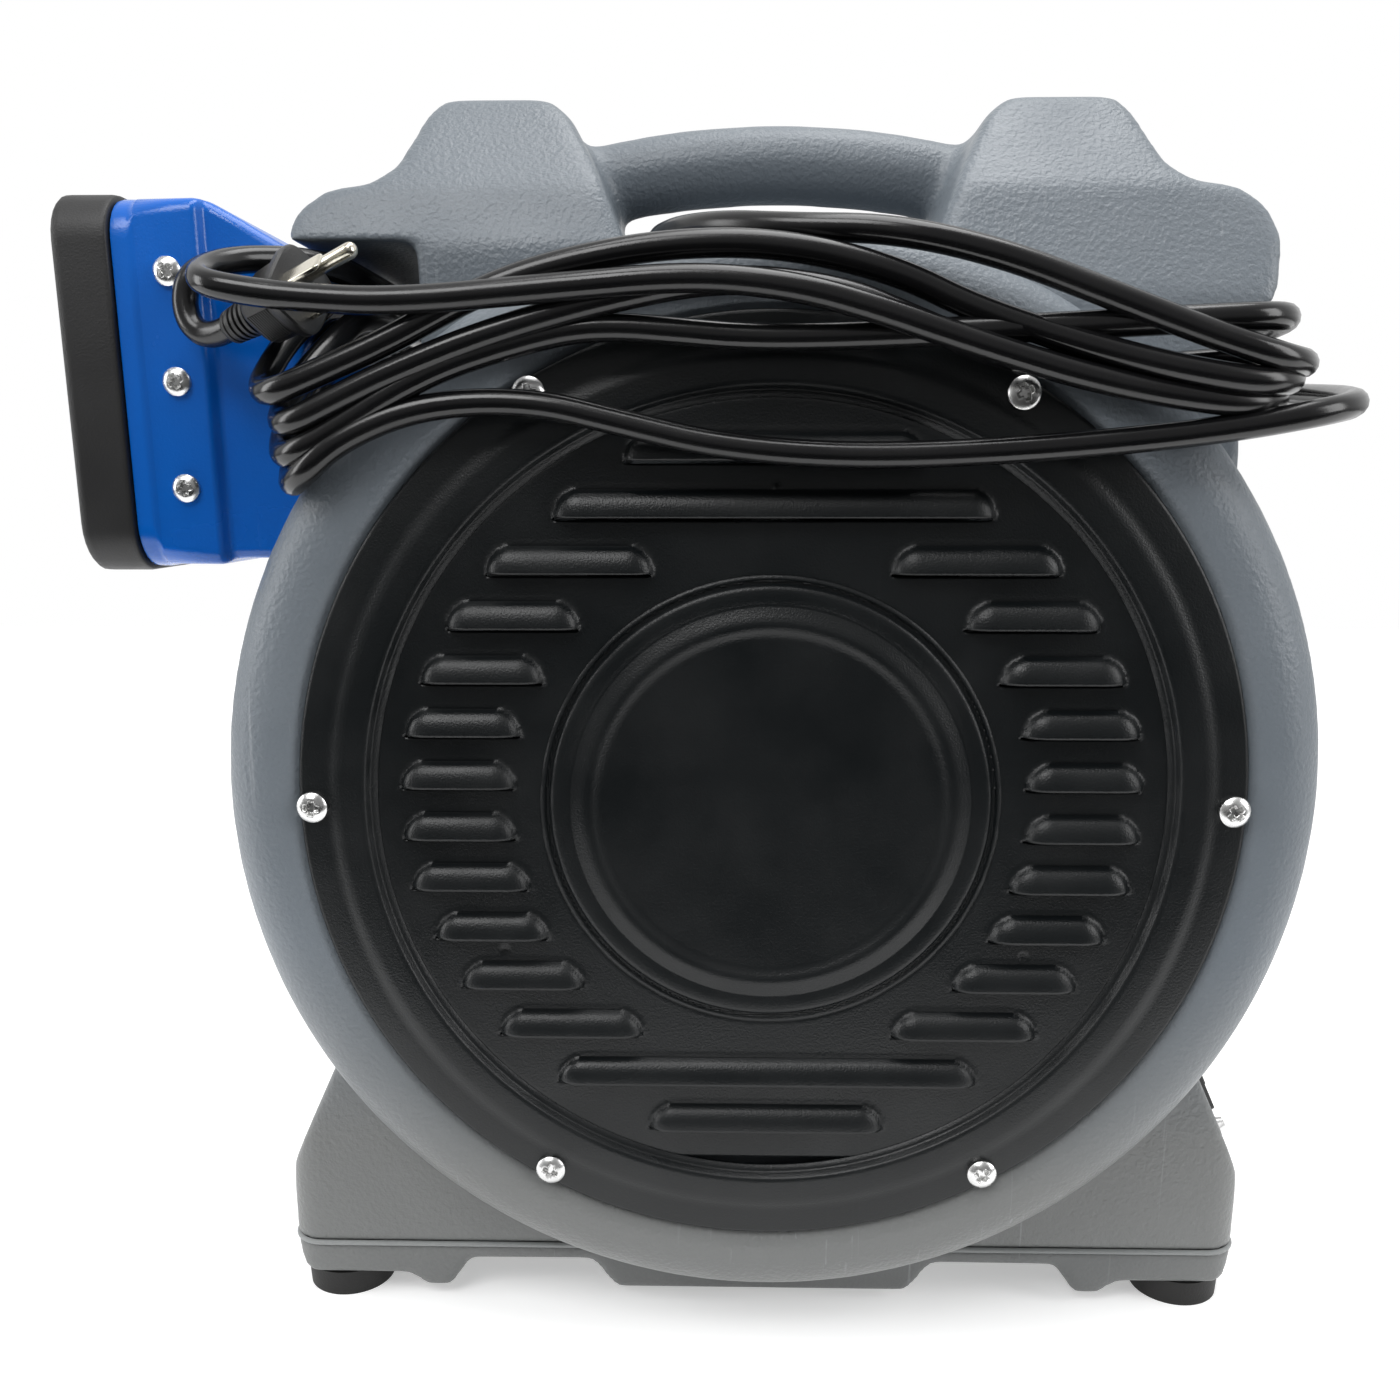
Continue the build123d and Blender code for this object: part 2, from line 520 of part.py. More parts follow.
# ---------------------------------------------------------------- fan wheel
HUB_R = 16
PLATE_DEPTH = 128
BLADE_INSIDE = 104
BLADE_THICK = 1.4
with BuildPart() as fan_wheel:
    add(turned((PLATE_DEPTH, HUB_R), (PLATE_DEPTH, WHEEL_R), (PLATE_DEPTH + 2, WHEEL_R), (PLATE_DEPTH + 2, HUB_R)))
    for start in (WHEEL_FRONT, WHEEL_BACK - 3):
        add(turned((start, BLADE_INSIDE - 1), (start, WHEEL_R), (start + 3, WHEEL_R), (start + 3, BLADE_INSIDE - 1)))
    with BuildSketch(front_view(WHEEL_FRONT + 1)) as blades:
        with PolarLocations(0, BLADES):
            with BuildLine():
                blade = ThreePointArc((BLADE_INSIDE, 0), (112, -1.5), (WHEEL_R - 1, 5))
                offset(blade, amount=BLADE_THICK / 2)
            make_face()
    extrude(amount=WHEEL_FRONT + 2 - WHEEL_BACK)
save(fan_wheel.part, "fan_wheel")

with BuildPart() as fan_hub:
    add(turned((PLATE_DEPTH - 10, SHAFT_R), (PLATE_DEPTH - 10, 12), (PLATE_DEPTH, 12), (PLATE_DEPTH, HUB_R),
               (PLATE_DEPTH + 2, HUB_R), (PLATE_DEPTH + 2, SHAFT_R)))
    add(pegs([Plane(origin=at(0, PLATE_DEPTH - 5, 12), z_dir=(0, 0, 1))], 2.5, 6.5), mode=Mode.SUBTRACT)
save(fan_hub.part, "fan_hub")
save(pegs([Plane(origin=at(0, PLATE_DEPTH - 5, 12.5), z_dir=(0, 0, 1))], 2.5, 6.4), "hub_set_screw")

# ---------------------------------------------------------------- scroll
# The wrap's radius grows evenly from the outlet's lower lip, against the clock, to the top of the drum.
SCROLL_START = 152
SCROLL_TURN = 296
SCROLL_NEAR = 128
SCROLL_FAR = 175
SCROLL_THICK = 2


def scroll_point(share, inset):
    """A point of the wrap, from 0 at the lower lip to 1 at the top."""
    turn = radians(SCROLL_START + SCROLL_TURN * share)
    radius = SCROLL_NEAR + (SCROLL_FAR - SCROLL_NEAR) * share - inset
    return (radius * cos(turn), radius * sin(turn))


steps = [i / 12 for i in range(13)]
with BuildPart() as scroll_wrap:
    with BuildSketch(front_view(38)):
        with BuildLine():
            outside = Spline(*[scroll_point(step, 0) for step in steps])
            inside = Spline(*[scroll_point(step, SCROLL_THICK) for step in steps])
            Line(outside @ 0, inside @ 0)
            Line(outside @ 1, inside @ 1)
        make_face()
    extrude(amount=38 - 174)
    tongue = [scroll_point(0, 0), (-146, DUCT_BOTTOM + WALL + 2), (-146, DUCT_BOTTOM + WALL),
              scroll_point(0, SCROLL_THICK)]
    add(front_block(tongue, DUCT_FRONT + WALL, DUCT_BACK - WALL))
save(scroll_wrap.part, "scroll_wrap")

# ---------------------------------------------------------------- motor's electrics
CAPACITOR_R = 16
CAPACITOR_Z = 80
capacitor_planes = [Plane(origin=at(0, 32, CAPACITOR_Z), x_dir=(1, 0, 0), z_dir=(0, -1, 0))]
with BuildPart() as capacitor:
    add(pegs(capacitor_planes, CAPACITOR_R, 56))
    chamfer(capacitor.edges().filter_by(GeomType.CIRCLE), 1.5)
save(capacitor.part, "capacitor")
with BuildPart() as capacitor_clip:
    with BuildSketch(front_view(52)):
        with Locations((0, CAPACITOR_Z)):
            Circle(CAPACITOR_R + 1.5)
        with Locations((0, (MOTOR_R + CAPACITOR_Z - CAPACITOR_R) / 2)):
            Rectangle(14, CAPACITOR_Z - CAPACITOR_R - MOTOR_R)
        with Locations((0, CAPACITOR_Z)):
            Circle(CAPACITOR_R, mode=Mode.SUBTRACT)
        Circle(MOTOR_R, mode=Mode.SUBTRACT)
    extrude(amount=-14)
save(capacitor_clip.part, "capacitor_clip")

# ---------------------------------------------------------------- control plate on the right flank
ROCKER_POCKET = (24, 16.4)
ROCKER_HALF = 10.6
ROCKER_TILT = 8
BUTTON_R = 3.6
GLAND_TIP = 22
with BuildPart() as control_plate:
    with BuildSketch(control_plane):
        RectangleRounded(*PLATE_SIZE, 5)
        with Locations(SWITCH_AT):
            Rectangle(*SWITCH_HOLE, mode=Mode.SUBTRACT)
        with Locations(BREAKER_AT):
            Circle(BREAKER_HOLE_R, mode=Mode.SUBTRACT)
        with Locations(GLAND_AT):
            Circle(GLAND_HOLE_R, mode=Mode.SUBTRACT)
    extrude(amount=PLATE_THICK)
    add(pegs(PLATE_SCREWS, 1.6, 3), mode=Mode.SUBTRACT)
save(control_plate.part, "control_plate")
save(pan_screws(PLATE_SCREWS, head_r=3.4, shank_r=1.5, shank=8), "control_plate_screws")

with BuildPart() as switch_body:
    with BuildSketch(control_plane.offset(-12)):
        with Locations(SWITCH_AT):
            Rectangle(*SWITCH_HOLE)
    extrude(amount=12 + PLATE_THICK)
    with BuildSketch(control_plane.offset(PLATE_THICK)):
        with Locations(SWITCH_AT):
            RectangleRounded(SWITCH_HOLE[0] + 4, SWITCH_HOLE[1] + 4, 2)
    extrude(amount=2.4, taper=10)
    with BuildSketch(control_plane.offset(PLATE_THICK + 2.4)):
        with Locations(SWITCH_AT):
            Rectangle(*ROCKER_POCKET)
    extrude(amount=-14, mode=Mode.SUBTRACT)
save(switch_body.part, "switch_body")

# The rocker is drawn from its pivot, looking along the slope, and tilted to its off position.
pivot = control_plane.from_local_coords(Vector(SWITCH_AT[0], SWITCH_AT[1], PLATE_THICK))
rocker_along = Vector(0, cos(radians(ROCKER_TILT)), 0) + flank_normal * sin(radians(ROCKER_TILT))
rocker_plane = Plane(origin=pivot, x_dir=rocker_along, z_dir=-control_plane.y_dir)
with BuildPart() as switch_rocker:
    with BuildSketch(rocker_plane):
        with BuildLine():
            Polyline((-ROCKER_HALF, -6), (0, -4.5), (ROCKER_HALF, -6), (ROCKER_HALF, -1), (2, 5),
                     (-2, 5), (-ROCKER_HALF, -1), close=True)
        make_face()
    extrude(amount=ROCKER_POCKET[1] / 2 - 0.5, both=True)
save(switch_rocker.part, "switch_rocker")

breaker_plane = control_plane.offset(-12)
with BuildPart() as breaker_body:
    with BuildSketch(breaker_plane):
        with Locations(BREAKER_AT):
            Circle(BREAKER_HOLE_R - 0.05)
    extrude(amount=12 + PLATE_THICK + 4)
    with BuildSketch(control_plane.offset(PLATE_THICK)):
        with Locations(BREAKER_AT):
            RegularPolygon(8.4, 6)
    extrude(amount=2.8)
    with BuildSketch(control_plane.offset(-6)):
        with Locations(BREAKER_AT):
            Circle(BUTTON_R + 0.35)
    extrude(amount=14, mode=Mode.SUBTRACT)
save(breaker_body.part, "breaker_body")
with BuildPart() as breaker_button:
    with BuildSketch(control_plane.offset(-3)):
        with Locations(BREAKER_AT):
            Circle(BUTTON_R)
    extrude(amount=12)
save(breaker_button.part, "breaker_button")

with BuildPart() as cord_gland:
    with BuildSketch(control_plane.offset(-10)):
        with Locations(GLAND_AT):
            Circle(GLAND_HOLE_R - 0.05)
    extrude(amount=10 + PLATE_THICK)
    with BuildSketch(control_plane.offset(PLATE_THICK)):
        with Locations(GLAND_AT):
            RegularPolygon(11, 6)
    extrude(amount=4)
    with BuildSketch(control_plane.offset(PLATE_THICK + 4)):
        with Locations(GLAND_AT):
            Circle(8)
    extrude(amount=GLAND_TIP - PLATE_THICK - 4, taper=8)
save(cord_gland.part, "cord_gland")

# ---------------------------------------------------------------- cord
gland_tip = control_plane.from_local_coords(Vector(GLAND_AT[0], GLAND_AT[1], GLAND_TIP))
TAIL_START = 18
TAIL_ROUTE = [(218, 140, -93), (223.5, 142, -71), (222, 147, -42), (214, 153, -9),
              (206, 159, 27), (198, 164, 62), (190, 167, 94), (183, 169, 122)]


def bend_radii(route):
    """The largest bend that each corner of a route has room for."""
    radii = []
    for before, corner, after in zip(route, route[1:], route[2:]):
        turn = radians((corner - before).get_angle(after - corner))
        run = min((corner - before).length, (after - corner).length)
        radii.append(0.45 * run / tan(turn / 2))
    return radii


tail_points = [gland_tip, gland_tip + flank_normal * TAIL_START] + [at(*point) for point in TAIL_ROUTE]
tail_radii = bend_radii(tail_points)
print("cord_tail radii", [round(radius) for radius in tail_radii])
with BuildPart() as cord_tail:
    with BuildLine() as tail_line:
        FilletPolyline(*tail_points, radius=tail_radii)
    with BuildSketch(Plane(origin=tail_line.line @ 0, z_dir=tail_line.line % 0)):
        Circle(CORD_R)
    sweep()
tail_length = sum(edge.length for edge in tail_line.line.edges())
print("cord_tail", round(tail_length), "mm", round(cord_tail.part.volume), "of",
      round(tail_length * pi * CORD_R ** 2), "mm3")
save(cord_tail.part, "cord_tail")

# The wound cord goes round the body under the shoulders, and through the channel beside the nozzle's flange.
WOUND_LEFT, WOUND_RIGHT = -156, 198
WOUND_FRONT, WOUND_BACK = -18, 233
HOLLOW_LEFT, HOLLOW_RIGHT = -122, 169
HOLLOW_FRONT, HOLLOW_BACK = -4.5, 219
WOUND_OUTLINE = [(WOUND_LEFT, 104), (-150, 104), (-120, 118), (-60, 118), (0, 108), (60, 108), (120, 112),
                 (WOUND_RIGHT, 124), (WOUND_RIGHT, 163), (150, 166), (110, 176), (60, 190), (-50, 190),
                 (-100, 180), (WOUND_LEFT, 180)]
with BuildPart() as cord_winding:
    with BuildSketch(top_view(90)):
        with Locations(((WOUND_LEFT + WOUND_RIGHT) / 2, (WOUND_FRONT + WOUND_BACK) / 2)):
            RectangleRounded(WOUND_RIGHT - WOUND_LEFT, WOUND_BACK - WOUND_FRONT, 24)
        with Locations(((HOLLOW_LEFT + HOLLOW_RIGHT) / 2, (HOLLOW_FRONT + HOLLOW_BACK) / 2)):
            RectangleRounded(HOLLOW_RIGHT - HOLLOW_LEFT, HOLLOW_BACK - HOLLOW_FRONT, 10, mode=Mode.SUBTRACT)
    extrude(amount=125)
    with BuildSketch(front_view(WOUND_FRONT - 5)):
        Polygon(*WOUND_OUTLINE, align=None)
    extrude(amount=WOUND_FRONT - WOUND_BACK - 10, mode=Mode.INTERSECT)
    # clear of the drum, the neck and the ledge behind them
    add(turned((0, 0), (BODY_DEPTH, 0), (BODY_DEPTH, RING_R + 1), (0, RING_R + 1)), mode=Mode.SUBTRACT)
    add(box((WOUND_LEFT - 5, -110), (NECK_FRONT - 2, BODY_DEPTH + 30), (90, NECK_TOP + 2)), mode=Mode.SUBTRACT)
    add(box((-200, 200), (HOLLOW_BACK - 9, 240), (90, 146)), mode=Mode.SUBTRACT)
    # the last turn's bend and the lead down to the plug, with room for the plug between them
    add(box((-189, -140), (-12.5, 35), (151, 181)))
    add(box((-172.5, -110), (HOLLOW_FRONT, 27), (140, 187)), mode=Mode.SUBTRACT)
    add(box((-190, WOUND_LEFT - 1), (-13, HOLLOW_FRONT + 0.1), (150, 157)), mode=Mode.SUBTRACT)
    add(box((-46, -34), (-10, 225), (181, 190)))
save(cord_winding.part, "cord_winding")

# ---------------------------------------------------------------- plug
PLUG_FACE = (-144, 15, 166)
PLUG_RISE = 16
PLUG_ROLL = 30
plug_axis = Vector(cos(radians(PLUG_RISE)), 0, sin(radians(PLUG_RISE)))
plug_up = Vector(-sin(radians(PLUG_RISE)), 0, cos(radians(PLUG_RISE)))
plug_side = Vector(0, cos(radians(PLUG_ROLL)), 0) + plug_up * sin(radians(PLUG_ROLL))
plug_plane = Plane(origin=at(*PLUG_FACE), x_dir=plug_side, z_dir=plug_axis)
with BuildPart() as plug_body:
    with BuildSketch(plug_plane.offset(-8)):
        RectangleRounded(21, 24, 7)
    extrude(amount=8)
    with BuildSketch(plug_plane.offset(-8)):
        RectangleRounded(21, 24, 7)
    with BuildSketch(plug_plane.offset(-20)):
        RectangleRounded(14, 15, 6.5)
    loft()
    with BuildSketch(plug_plane.offset(-20)):
        Circle(6.4)
    extrude(amount=-11, taper=4)
save(plug_body.part, "plug_body")
with BuildPart() as plug_blades:
    with BuildSketch(plug_plane):
        with Locations((-6.35, 3.5), (6.35, 3.5)):
            Rectangle(1.5, 6.3)
    extrude(amount=17)
save(plug_blades.part, "plug_blades")
with BuildPart() as plug_pin:
    with BuildSketch(plug_plane):
        with Locations((0, -7)):
            Circle(2.4)
    extrude(amount=21)
    fillet(plug_pin.edges().filter_by(GeomType.CIRCLE).sort_by(Axis.X)[-1], 2)
save(plug_pin.part, "plug_ground_pin")

print("switch pivot", [round(value / 1000, 5) for value in tuple(pivot)])
print("flank normal", [round(value, 5) for value in tuple(flank_normal)])
print("slope", [round(value, 5) for value in tuple(control_plane.y_dir)])
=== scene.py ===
import json
import math

import bmesh
import bpy
from mathutils import Matrix, Vector


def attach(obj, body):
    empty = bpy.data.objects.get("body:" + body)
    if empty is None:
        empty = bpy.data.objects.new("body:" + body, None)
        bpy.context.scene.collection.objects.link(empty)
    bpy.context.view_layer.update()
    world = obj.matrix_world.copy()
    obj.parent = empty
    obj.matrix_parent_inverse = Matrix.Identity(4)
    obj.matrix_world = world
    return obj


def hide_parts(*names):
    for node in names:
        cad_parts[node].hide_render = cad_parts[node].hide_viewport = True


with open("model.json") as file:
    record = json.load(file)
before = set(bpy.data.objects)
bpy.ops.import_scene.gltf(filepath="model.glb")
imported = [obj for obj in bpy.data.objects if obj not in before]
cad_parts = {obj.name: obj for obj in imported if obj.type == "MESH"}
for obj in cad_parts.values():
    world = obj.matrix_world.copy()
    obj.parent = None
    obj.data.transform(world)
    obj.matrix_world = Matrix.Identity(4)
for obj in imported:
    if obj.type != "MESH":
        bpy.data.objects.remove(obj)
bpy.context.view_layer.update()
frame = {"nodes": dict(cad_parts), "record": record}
scene = bpy.context.scene
NODES = frame["nodes"]


# where the fan's axis meets the louvred cover's front, in millimetres
AXIS_X, COVER_Y, AXIS_Z = 27, -107.75, 208


def at(x, depth, z):
    """A point from the fan's axis: right, back from the louvred cover, and up, in millimetres."""
    return Vector(((x + AXIS_X) / 1000, (depth + COVER_Y) / 1000, (z + AXIS_Z) / 1000))


# ---------------------------------------------------------------- camera
camera_data = bpy.data.cameras.new("camera")
camera_data.sensor_width = 36
camera_data.lens = 34.0
camera_data.shift_y = 0.0714
camera_data.clip_start = 0.01
camera = bpy.data.objects.new("camera", camera_data)
scene.collection.objects.link(camera)
camera.location = at(-14, -423, 105)
camera.rotation_euler = Vector((-0.021, 0.9721, -0.2336)).to_track_quat("-Z", "Y").to_euler()
scene.camera = camera


# ---------------------------------------------------------------- making pieces
def add_mesh(name, mesh, body="machine"):
    piece = bpy.data.objects.new(name, mesh)
    scene.collection.objects.link(piece)
    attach(piece, body)
    return piece


def smooth(mesh, angle=None):
    for polygon in mesh.polygons:
        polygon.use_smooth = True
    if angle is not None:
        mesh.set_sharp_from_angle(angle=math.radians(angle))


def to_piece(name, work, angle):
    """Ends a bmesh as a smooth-shaded piece, sharp past the angle in degrees."""
    mesh = bpy.data.meshes.new(name)
    work.to_mesh(mesh)
    work.free()
    smooth(mesh, angle)
    return add_mesh(name, mesh)


def looking(origin, direction, up=(0, 0, 1)):
    """A matrix at origin whose Z is direction."""
    z = Vector(direction).normalized()
    x = Vector(up).cross(z)
    if x.length < 1e-4:
        x = Vector((0, 1, 0)).cross(z)
    x.normalize()
    return Matrix.Translation(origin) @ Matrix((x, z.cross(x), z)).transposed().to_4x4()


# ---------------------------------------------------------------- cord
# From the gland up the right side, five and a half turns round the body and one round the right
# tower alone, then down to the plug that is tucked under the last turn.
CORD_R = 0.00415
GLAND_EXIT = Vector((0.21651, 0.02925, 0.09182))
CORD_POINTS = [
    # up the right side
    (205.8, 137, -108.5), (218, 140, -93), (223.5, 142, -71), (222, 147, -42), (214, 153, -9), (206, 159, 27),
    (198, 164, 62), (190, 167, 94), (184, 172, 122),
    # behind, then through the channel to the lowest strand
    (180, 186, 142), (172, 208, 154), (150, 223, 158), (100, 225, 160), (40, 225, 160), (-30, 225, 158),
    (-95, 224, 156), (-128, 220, 154), (-145, 200, 153), (-147, 160, 153), (-147, 105, 153), (-148, 62, 152),
    (-153, 44, 140), (-156, 27, 120), (-155, 10, 104), (-147, -7, 106), (-133, -8, 118), (-107, -8, 127.9),
    (-74, -8, 129), (-47, -8, 122.5), (-17, -8, 115.5), (23, -8, 112.5), (68, -8, 114), (113, -8, 117.8),
    (142, -8, 121.5), (164, -8, 125.5), (179, 4, 128.5), (187, 30, 131.5), (193, 75, 135), (194, 125, 139),
    # second turn
    (191, 175, 144), (181, 212, 150), (158, 228, 153), (105, 229, 152), (45, 229, 151), (-30, 229, 150),
    (-95, 228, 150), (-128, 226, 151), (-149, 208, 156), (-152, 165, 159), (-152, 110, 160), (-152, 62, 158),
    (-153, 42, 148), (-157, 26, 130), (-157, 8, 114), (-149, -6, 113), (-134, -7, 121), (-113.4, -9, 132.8),
    (-95.7, -9, 140.5), (-66.6, -9, 148.6), (-50, -9, 150), (-32.3, -9, 148.8), (-9.7, -9, 146.8), (18.8, -9, 147),
    (55.5, -9, 148.5), (90, -9, 150), (126, -8, 152), (149, -6, 153), (159, 14, 154.5), (167, 42, 156),
    (174, 90, 156), (174, 135, 156),
    # third turn
    (172, 180, 158), (164, 210, 162), (145, 221, 166), (100, 222, 169), (40, 222, 169), (-30, 222, 167),
    (-90, 221, 164), (-120, 214, 162), (-138, 196, 161), (-140, 160, 161), (-140, 105, 161), (-142, 60, 161),
    (-147, 44, 152), (-154, 27, 139), (-156, 6, 124), (-149, -7, 122), (-134, -9, 129), (-117.1, -10, 136.6),
    (-87, -12, 147.6), (-52.4, -12, 157), (-15.7, -13, 163.5), (18.6, -14, 159.5), (40, -14, 151), (66.5, -9, 141.5),
    (100, -4, 137), (130, -3, 140), (146, 1, 141), (154, 16, 142), (163, 44, 144), (176, 90, 147), (184, 135, 149),
    # fourth turn
    (183, 180, 152), (174, 215, 158), (152, 229, 162), (105, 229.5, 168), (45, 229.5, 168), (-30, 229.5, 167),
    (-95, 229, 166), (-130, 224, 166), (-148, 204, 168), (-149, 160, 169), (-149, 105, 169), (-150, 62, 169),
    (-153, 44, 161), (-159, 27, 149), (-162, 8, 134), (-154, -7, 131), (-138, -9, 137), (-113.8, -10, 146.9),
    (-90.1, -11, 158.9), (-66.1, -11, 167.1), (-32.1, -10, 173), (1.6, -9, 173), (35.1, -8, 165.6),
    (60, -8, 154), (102, -12, 141), (135, -13, 134.5), (151, -9, 134), (160, 8, 136), (170, 44, 139.5),
    (186, 90, 144), (193, 135, 149),
    # round the right tower, through the gap under the handle
    (190, 180, 154), (178, 214, 160), (152, 224, 166), (105, 224, 177), (50, 222, 179), (0, 216, 180),
    (-30, 200, 183), (-40, 165, 184.5), (-41, 120, 184.5), (-41, 75, 184.5), (-36, 38, 184), (-18, 12, 182),
    (5, -2, 178.5), (34, -8, 177), (65, -10, 170), (94.8, -12, 158.9), (125, -13, 147.7), (149, -12, 140.5),
    (160, -1, 140), (169, 26, 141.5), (177, 60, 143), (181, 100, 146), (181, 140, 150),
    # fifth turn
    (179, 180, 157), (171, 208, 166), (150, 218, 172), (100, 220.5, 176), (45, 222, 177), (-20, 222, 176),
    (-85, 222, 173), (-118, 216, 170), (-136, 196, 170), (-139, 160, 170), (-139, 105, 170), (-140, 62, 172),
    (-147, 42, 175), (-159, 29, 175), (-171, 18, 173), (-176, 4, 168), (-172, -8, 163), (-158, -11, 160),
    (-141.9, -11, 158.2), (-112.1, -15, 156.2), (-66.3, -17, 159.8), (-26.6, -17, 163), (1.8, -17, 160.6),
    (24.3, -16, 155.4), (58.6, -14, 144.5), (96.6, -12, 133.8), (133, -10, 128), (149, -5, 128.5), (157, 12, 130.5),
    (165, 44, 134), (173, 90, 142), (176, 135, 151),
    # behind once more and down to the plug
    (176, 178, 163), (170, 207, 173), (148, 224, 176), (100, 229, 176), (45, 229, 176), (-20, 229, 175),
    (-85, 229, 174), (-122, 226, 174), (-145, 208, 176), (-148, 165, 177), (-148, 110, 177), (-149, 64, 177.5),
    (-157, 44, 177), (-170, 37, 176.5), (-181, 34, 175), (-190, 32, 171), (-192.5, 31, 162.5), (-190, 29.5, 154),
    (-182.5, 27.5, 150.8), (-174.97, 23.2, 153.4),
]


def tube(name, points, radius, body="machine"):
    """An open NURBS tube. Its points carry the radius, so that its box is as wide as the tube."""
    data = bpy.data.curves.new(name, "CURVE")
    data.dimensions = "3D"
    spline = data.splines.new("NURBS")
    spline.points.add(len(points) - 1)
    for point, place in zip(spline.points, points):
        point.co = (*place, 1)
        point.radius = radius
    spline.order_u = 3
    spline.use_endpoint_u = True
    spline.resolution_u = 8
    data.resolution_u = 8
    data.bevel_depth = 1.0
    data.bevel_resolution = 5
    piece = bpy.data.objects.new(name, data)
    scene.collection.objects.link(piece)
    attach(piece, body)
    return piece


cord = tube("mains_cord", [GLAND_EXIT] + [at(*point) for point in CORD_POINTS], CORD_R)
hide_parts("cord_tail", "cord_winding")


# ---------------------------------------------------------------- materials
class Graph:
    """A short way to wire one material's nodes."""

    def __init__(self, name):
        self.material = bpy.data.materials.new(name)
        self.material.use_nodes = True
        self.tree = self.material.node_tree
        self.shader = self.tree.nodes["Principled BSDF"]
        self.place = self.node("ShaderNodeTexCoord").outputs["Object"]

    def node(self, kind, **settings):
        made = self.tree.nodes.new(kind)
        for key, value in settings.items():
            setattr(made, key, value)
        return made

    def link(self, source, target):
        self.tree.links.new(source, target)

    def noise(self, scale, detail=3, stretch=(1, 1, 1), rough=0.5, tilt=0.0):
        mapping = self.node("ShaderNodeMapping")
        mapping.inputs["Rotation"].default_value = (0, tilt, 0)
        mapping.inputs["Scale"].default_value = stretch
        self.link(self.place, mapping.inputs["Vector"])
        texture = self.node("ShaderNodeTexNoise")
        texture.inputs["Scale"].default_value = scale
        texture.inputs["Detail"].default_value = detail
        texture.inputs["Roughness"].default_value = rough
        self.link(mapping.outputs[0], texture.inputs["Vector"])
        return texture.outputs[0]

    def ramp(self, source, low, high, start=0.0, end=1.0):
        scaled = self.node("ShaderNodeMapRange")
        for index, value in enumerate((low, high, start, end)):
            scaled.inputs[index + 1].default_value = value
        self.link(source, scaled.inputs[0])
        return scaled.outputs[0]

    def maths(self, operation, first, second):
        made = self.node("ShaderNodeMath", operation=operation)
        for socket, value in zip(made.inputs, (first, second)):
            if isinstance(value, (int, float)):
                socket.default_value = value
            else:
                self.link(value, socket)
        return made.outputs[0]

    def mix(self, factor, first, second):
        made = self.node("ShaderNodeMix", data_type="RGBA")
        for socket, value in zip((made.inputs[0], made.inputs[6], made.inputs[7]), (factor, first, second)):
            if isinstance(value, tuple):
                socket.default_value = (*value, 1)
            else:
                self.link(value, socket)
        return made.outputs[2]

    def bump(self, height, strength, distance, under=None):
        made = self.node("ShaderNodeBump")
        made.inputs["Strength"].default_value = strength
        made.inputs["Distance"].default_value = distance
        self.link(height, made.inputs["Height"])
        if under:
            self.link(under, made.inputs["Normal"])
        return made.outputs[0]

    def set(self, **sockets):
        for name, value in sockets.items():
            socket = self.shader.inputs[name.replace("_", " ")]
            if isinstance(value, (int, float)):
                socket.default_value = value
            elif isinstance(value, tuple):
                socket.default_value = (*value, 1)
            else:
                self.link(value, socket)


def moulded(name, colour, other, rough, grain, grain_depth, scuff=0.0,
            scuff_colour=(0.5, 0.52, 0.54), gloss=0.5, warm=None):
    """Moulded plastic: two close shades in clouds, a fine grain and thin scuffs; warm is its shade low down."""
    graph = Graph(name)
    clouds = graph.noise(9, 4)
    shade = graph.mix(graph.ramp(clouds, 0.35, 0.7), colour, other)
    speck = graph.noise(grain, 2)
    shade = graph.mix(graph.ramp(speck, 0.3, 0.75, 0.0, 0.35), shade, other)
    if warm:
        height = graph.node("ShaderNodeSeparateXYZ")
        graph.link(graph.place, height.inputs[0])
        low = graph.ramp(height.outputs[2], 0.16, 0.07)
        shade = graph.mix(low, shade, warm)
    roughness = graph.ramp(graph.noise(35, 4), 0.3, 0.7, rough - 0.07, rough + 0.07)
    if scuff:
        lines = []
        for tilt, stretch, scale in ((0.3, (60, 9, 1.3), 9), (-0.5, (44, 9, 1.6), 8), (0.05, (70, 60, 1.5), 7)):
            lines.append(graph.ramp(graph.noise(scale, 2, stretch, tilt=tilt), 0.7, 0.76))
        marks = graph.maths("MAXIMUM", graph.maths("MAXIMUM", lines[0], lines[1]), lines[2])
        patch = graph.ramp(graph.noise(11, 4), 0.5, 0.66)
        marks = graph.maths("MULTIPLY", graph.maths("MULTIPLY", marks, patch), scuff)
        shade = graph.mix(marks, shade, scuff_colour)
        roughness = graph.maths("ADD", roughness, graph.maths("MULTIPLY", marks, 0.2))
    pebble = graph.bump(speck, 0.55, grain_depth)
    normal = graph.bump(graph.noise(30, 3), 0.3, 0.0006, pebble)
    graph.set(Base_Color=shade, Roughness=roughness, Normal=normal, Specular_IOR_Level=gloss)
    return graph.material


def metal(name, colour, other, rough, stretch=(1, 1, 1), scale=300):
    graph = Graph(name)
    grain = graph.noise(scale, 3, stretch)
    graph.set(Base_Color=graph.mix(graph.ramp(graph.noise(60, 3), 0.35, 0.65), colour, other), Metallic=1.0,
              Roughness=graph.ramp(grain, 0.3, 0.7, rough - 0.08, rough + 0.1),
              Normal=graph.bump(grain, 0.15, 0.0002))
    return graph.material


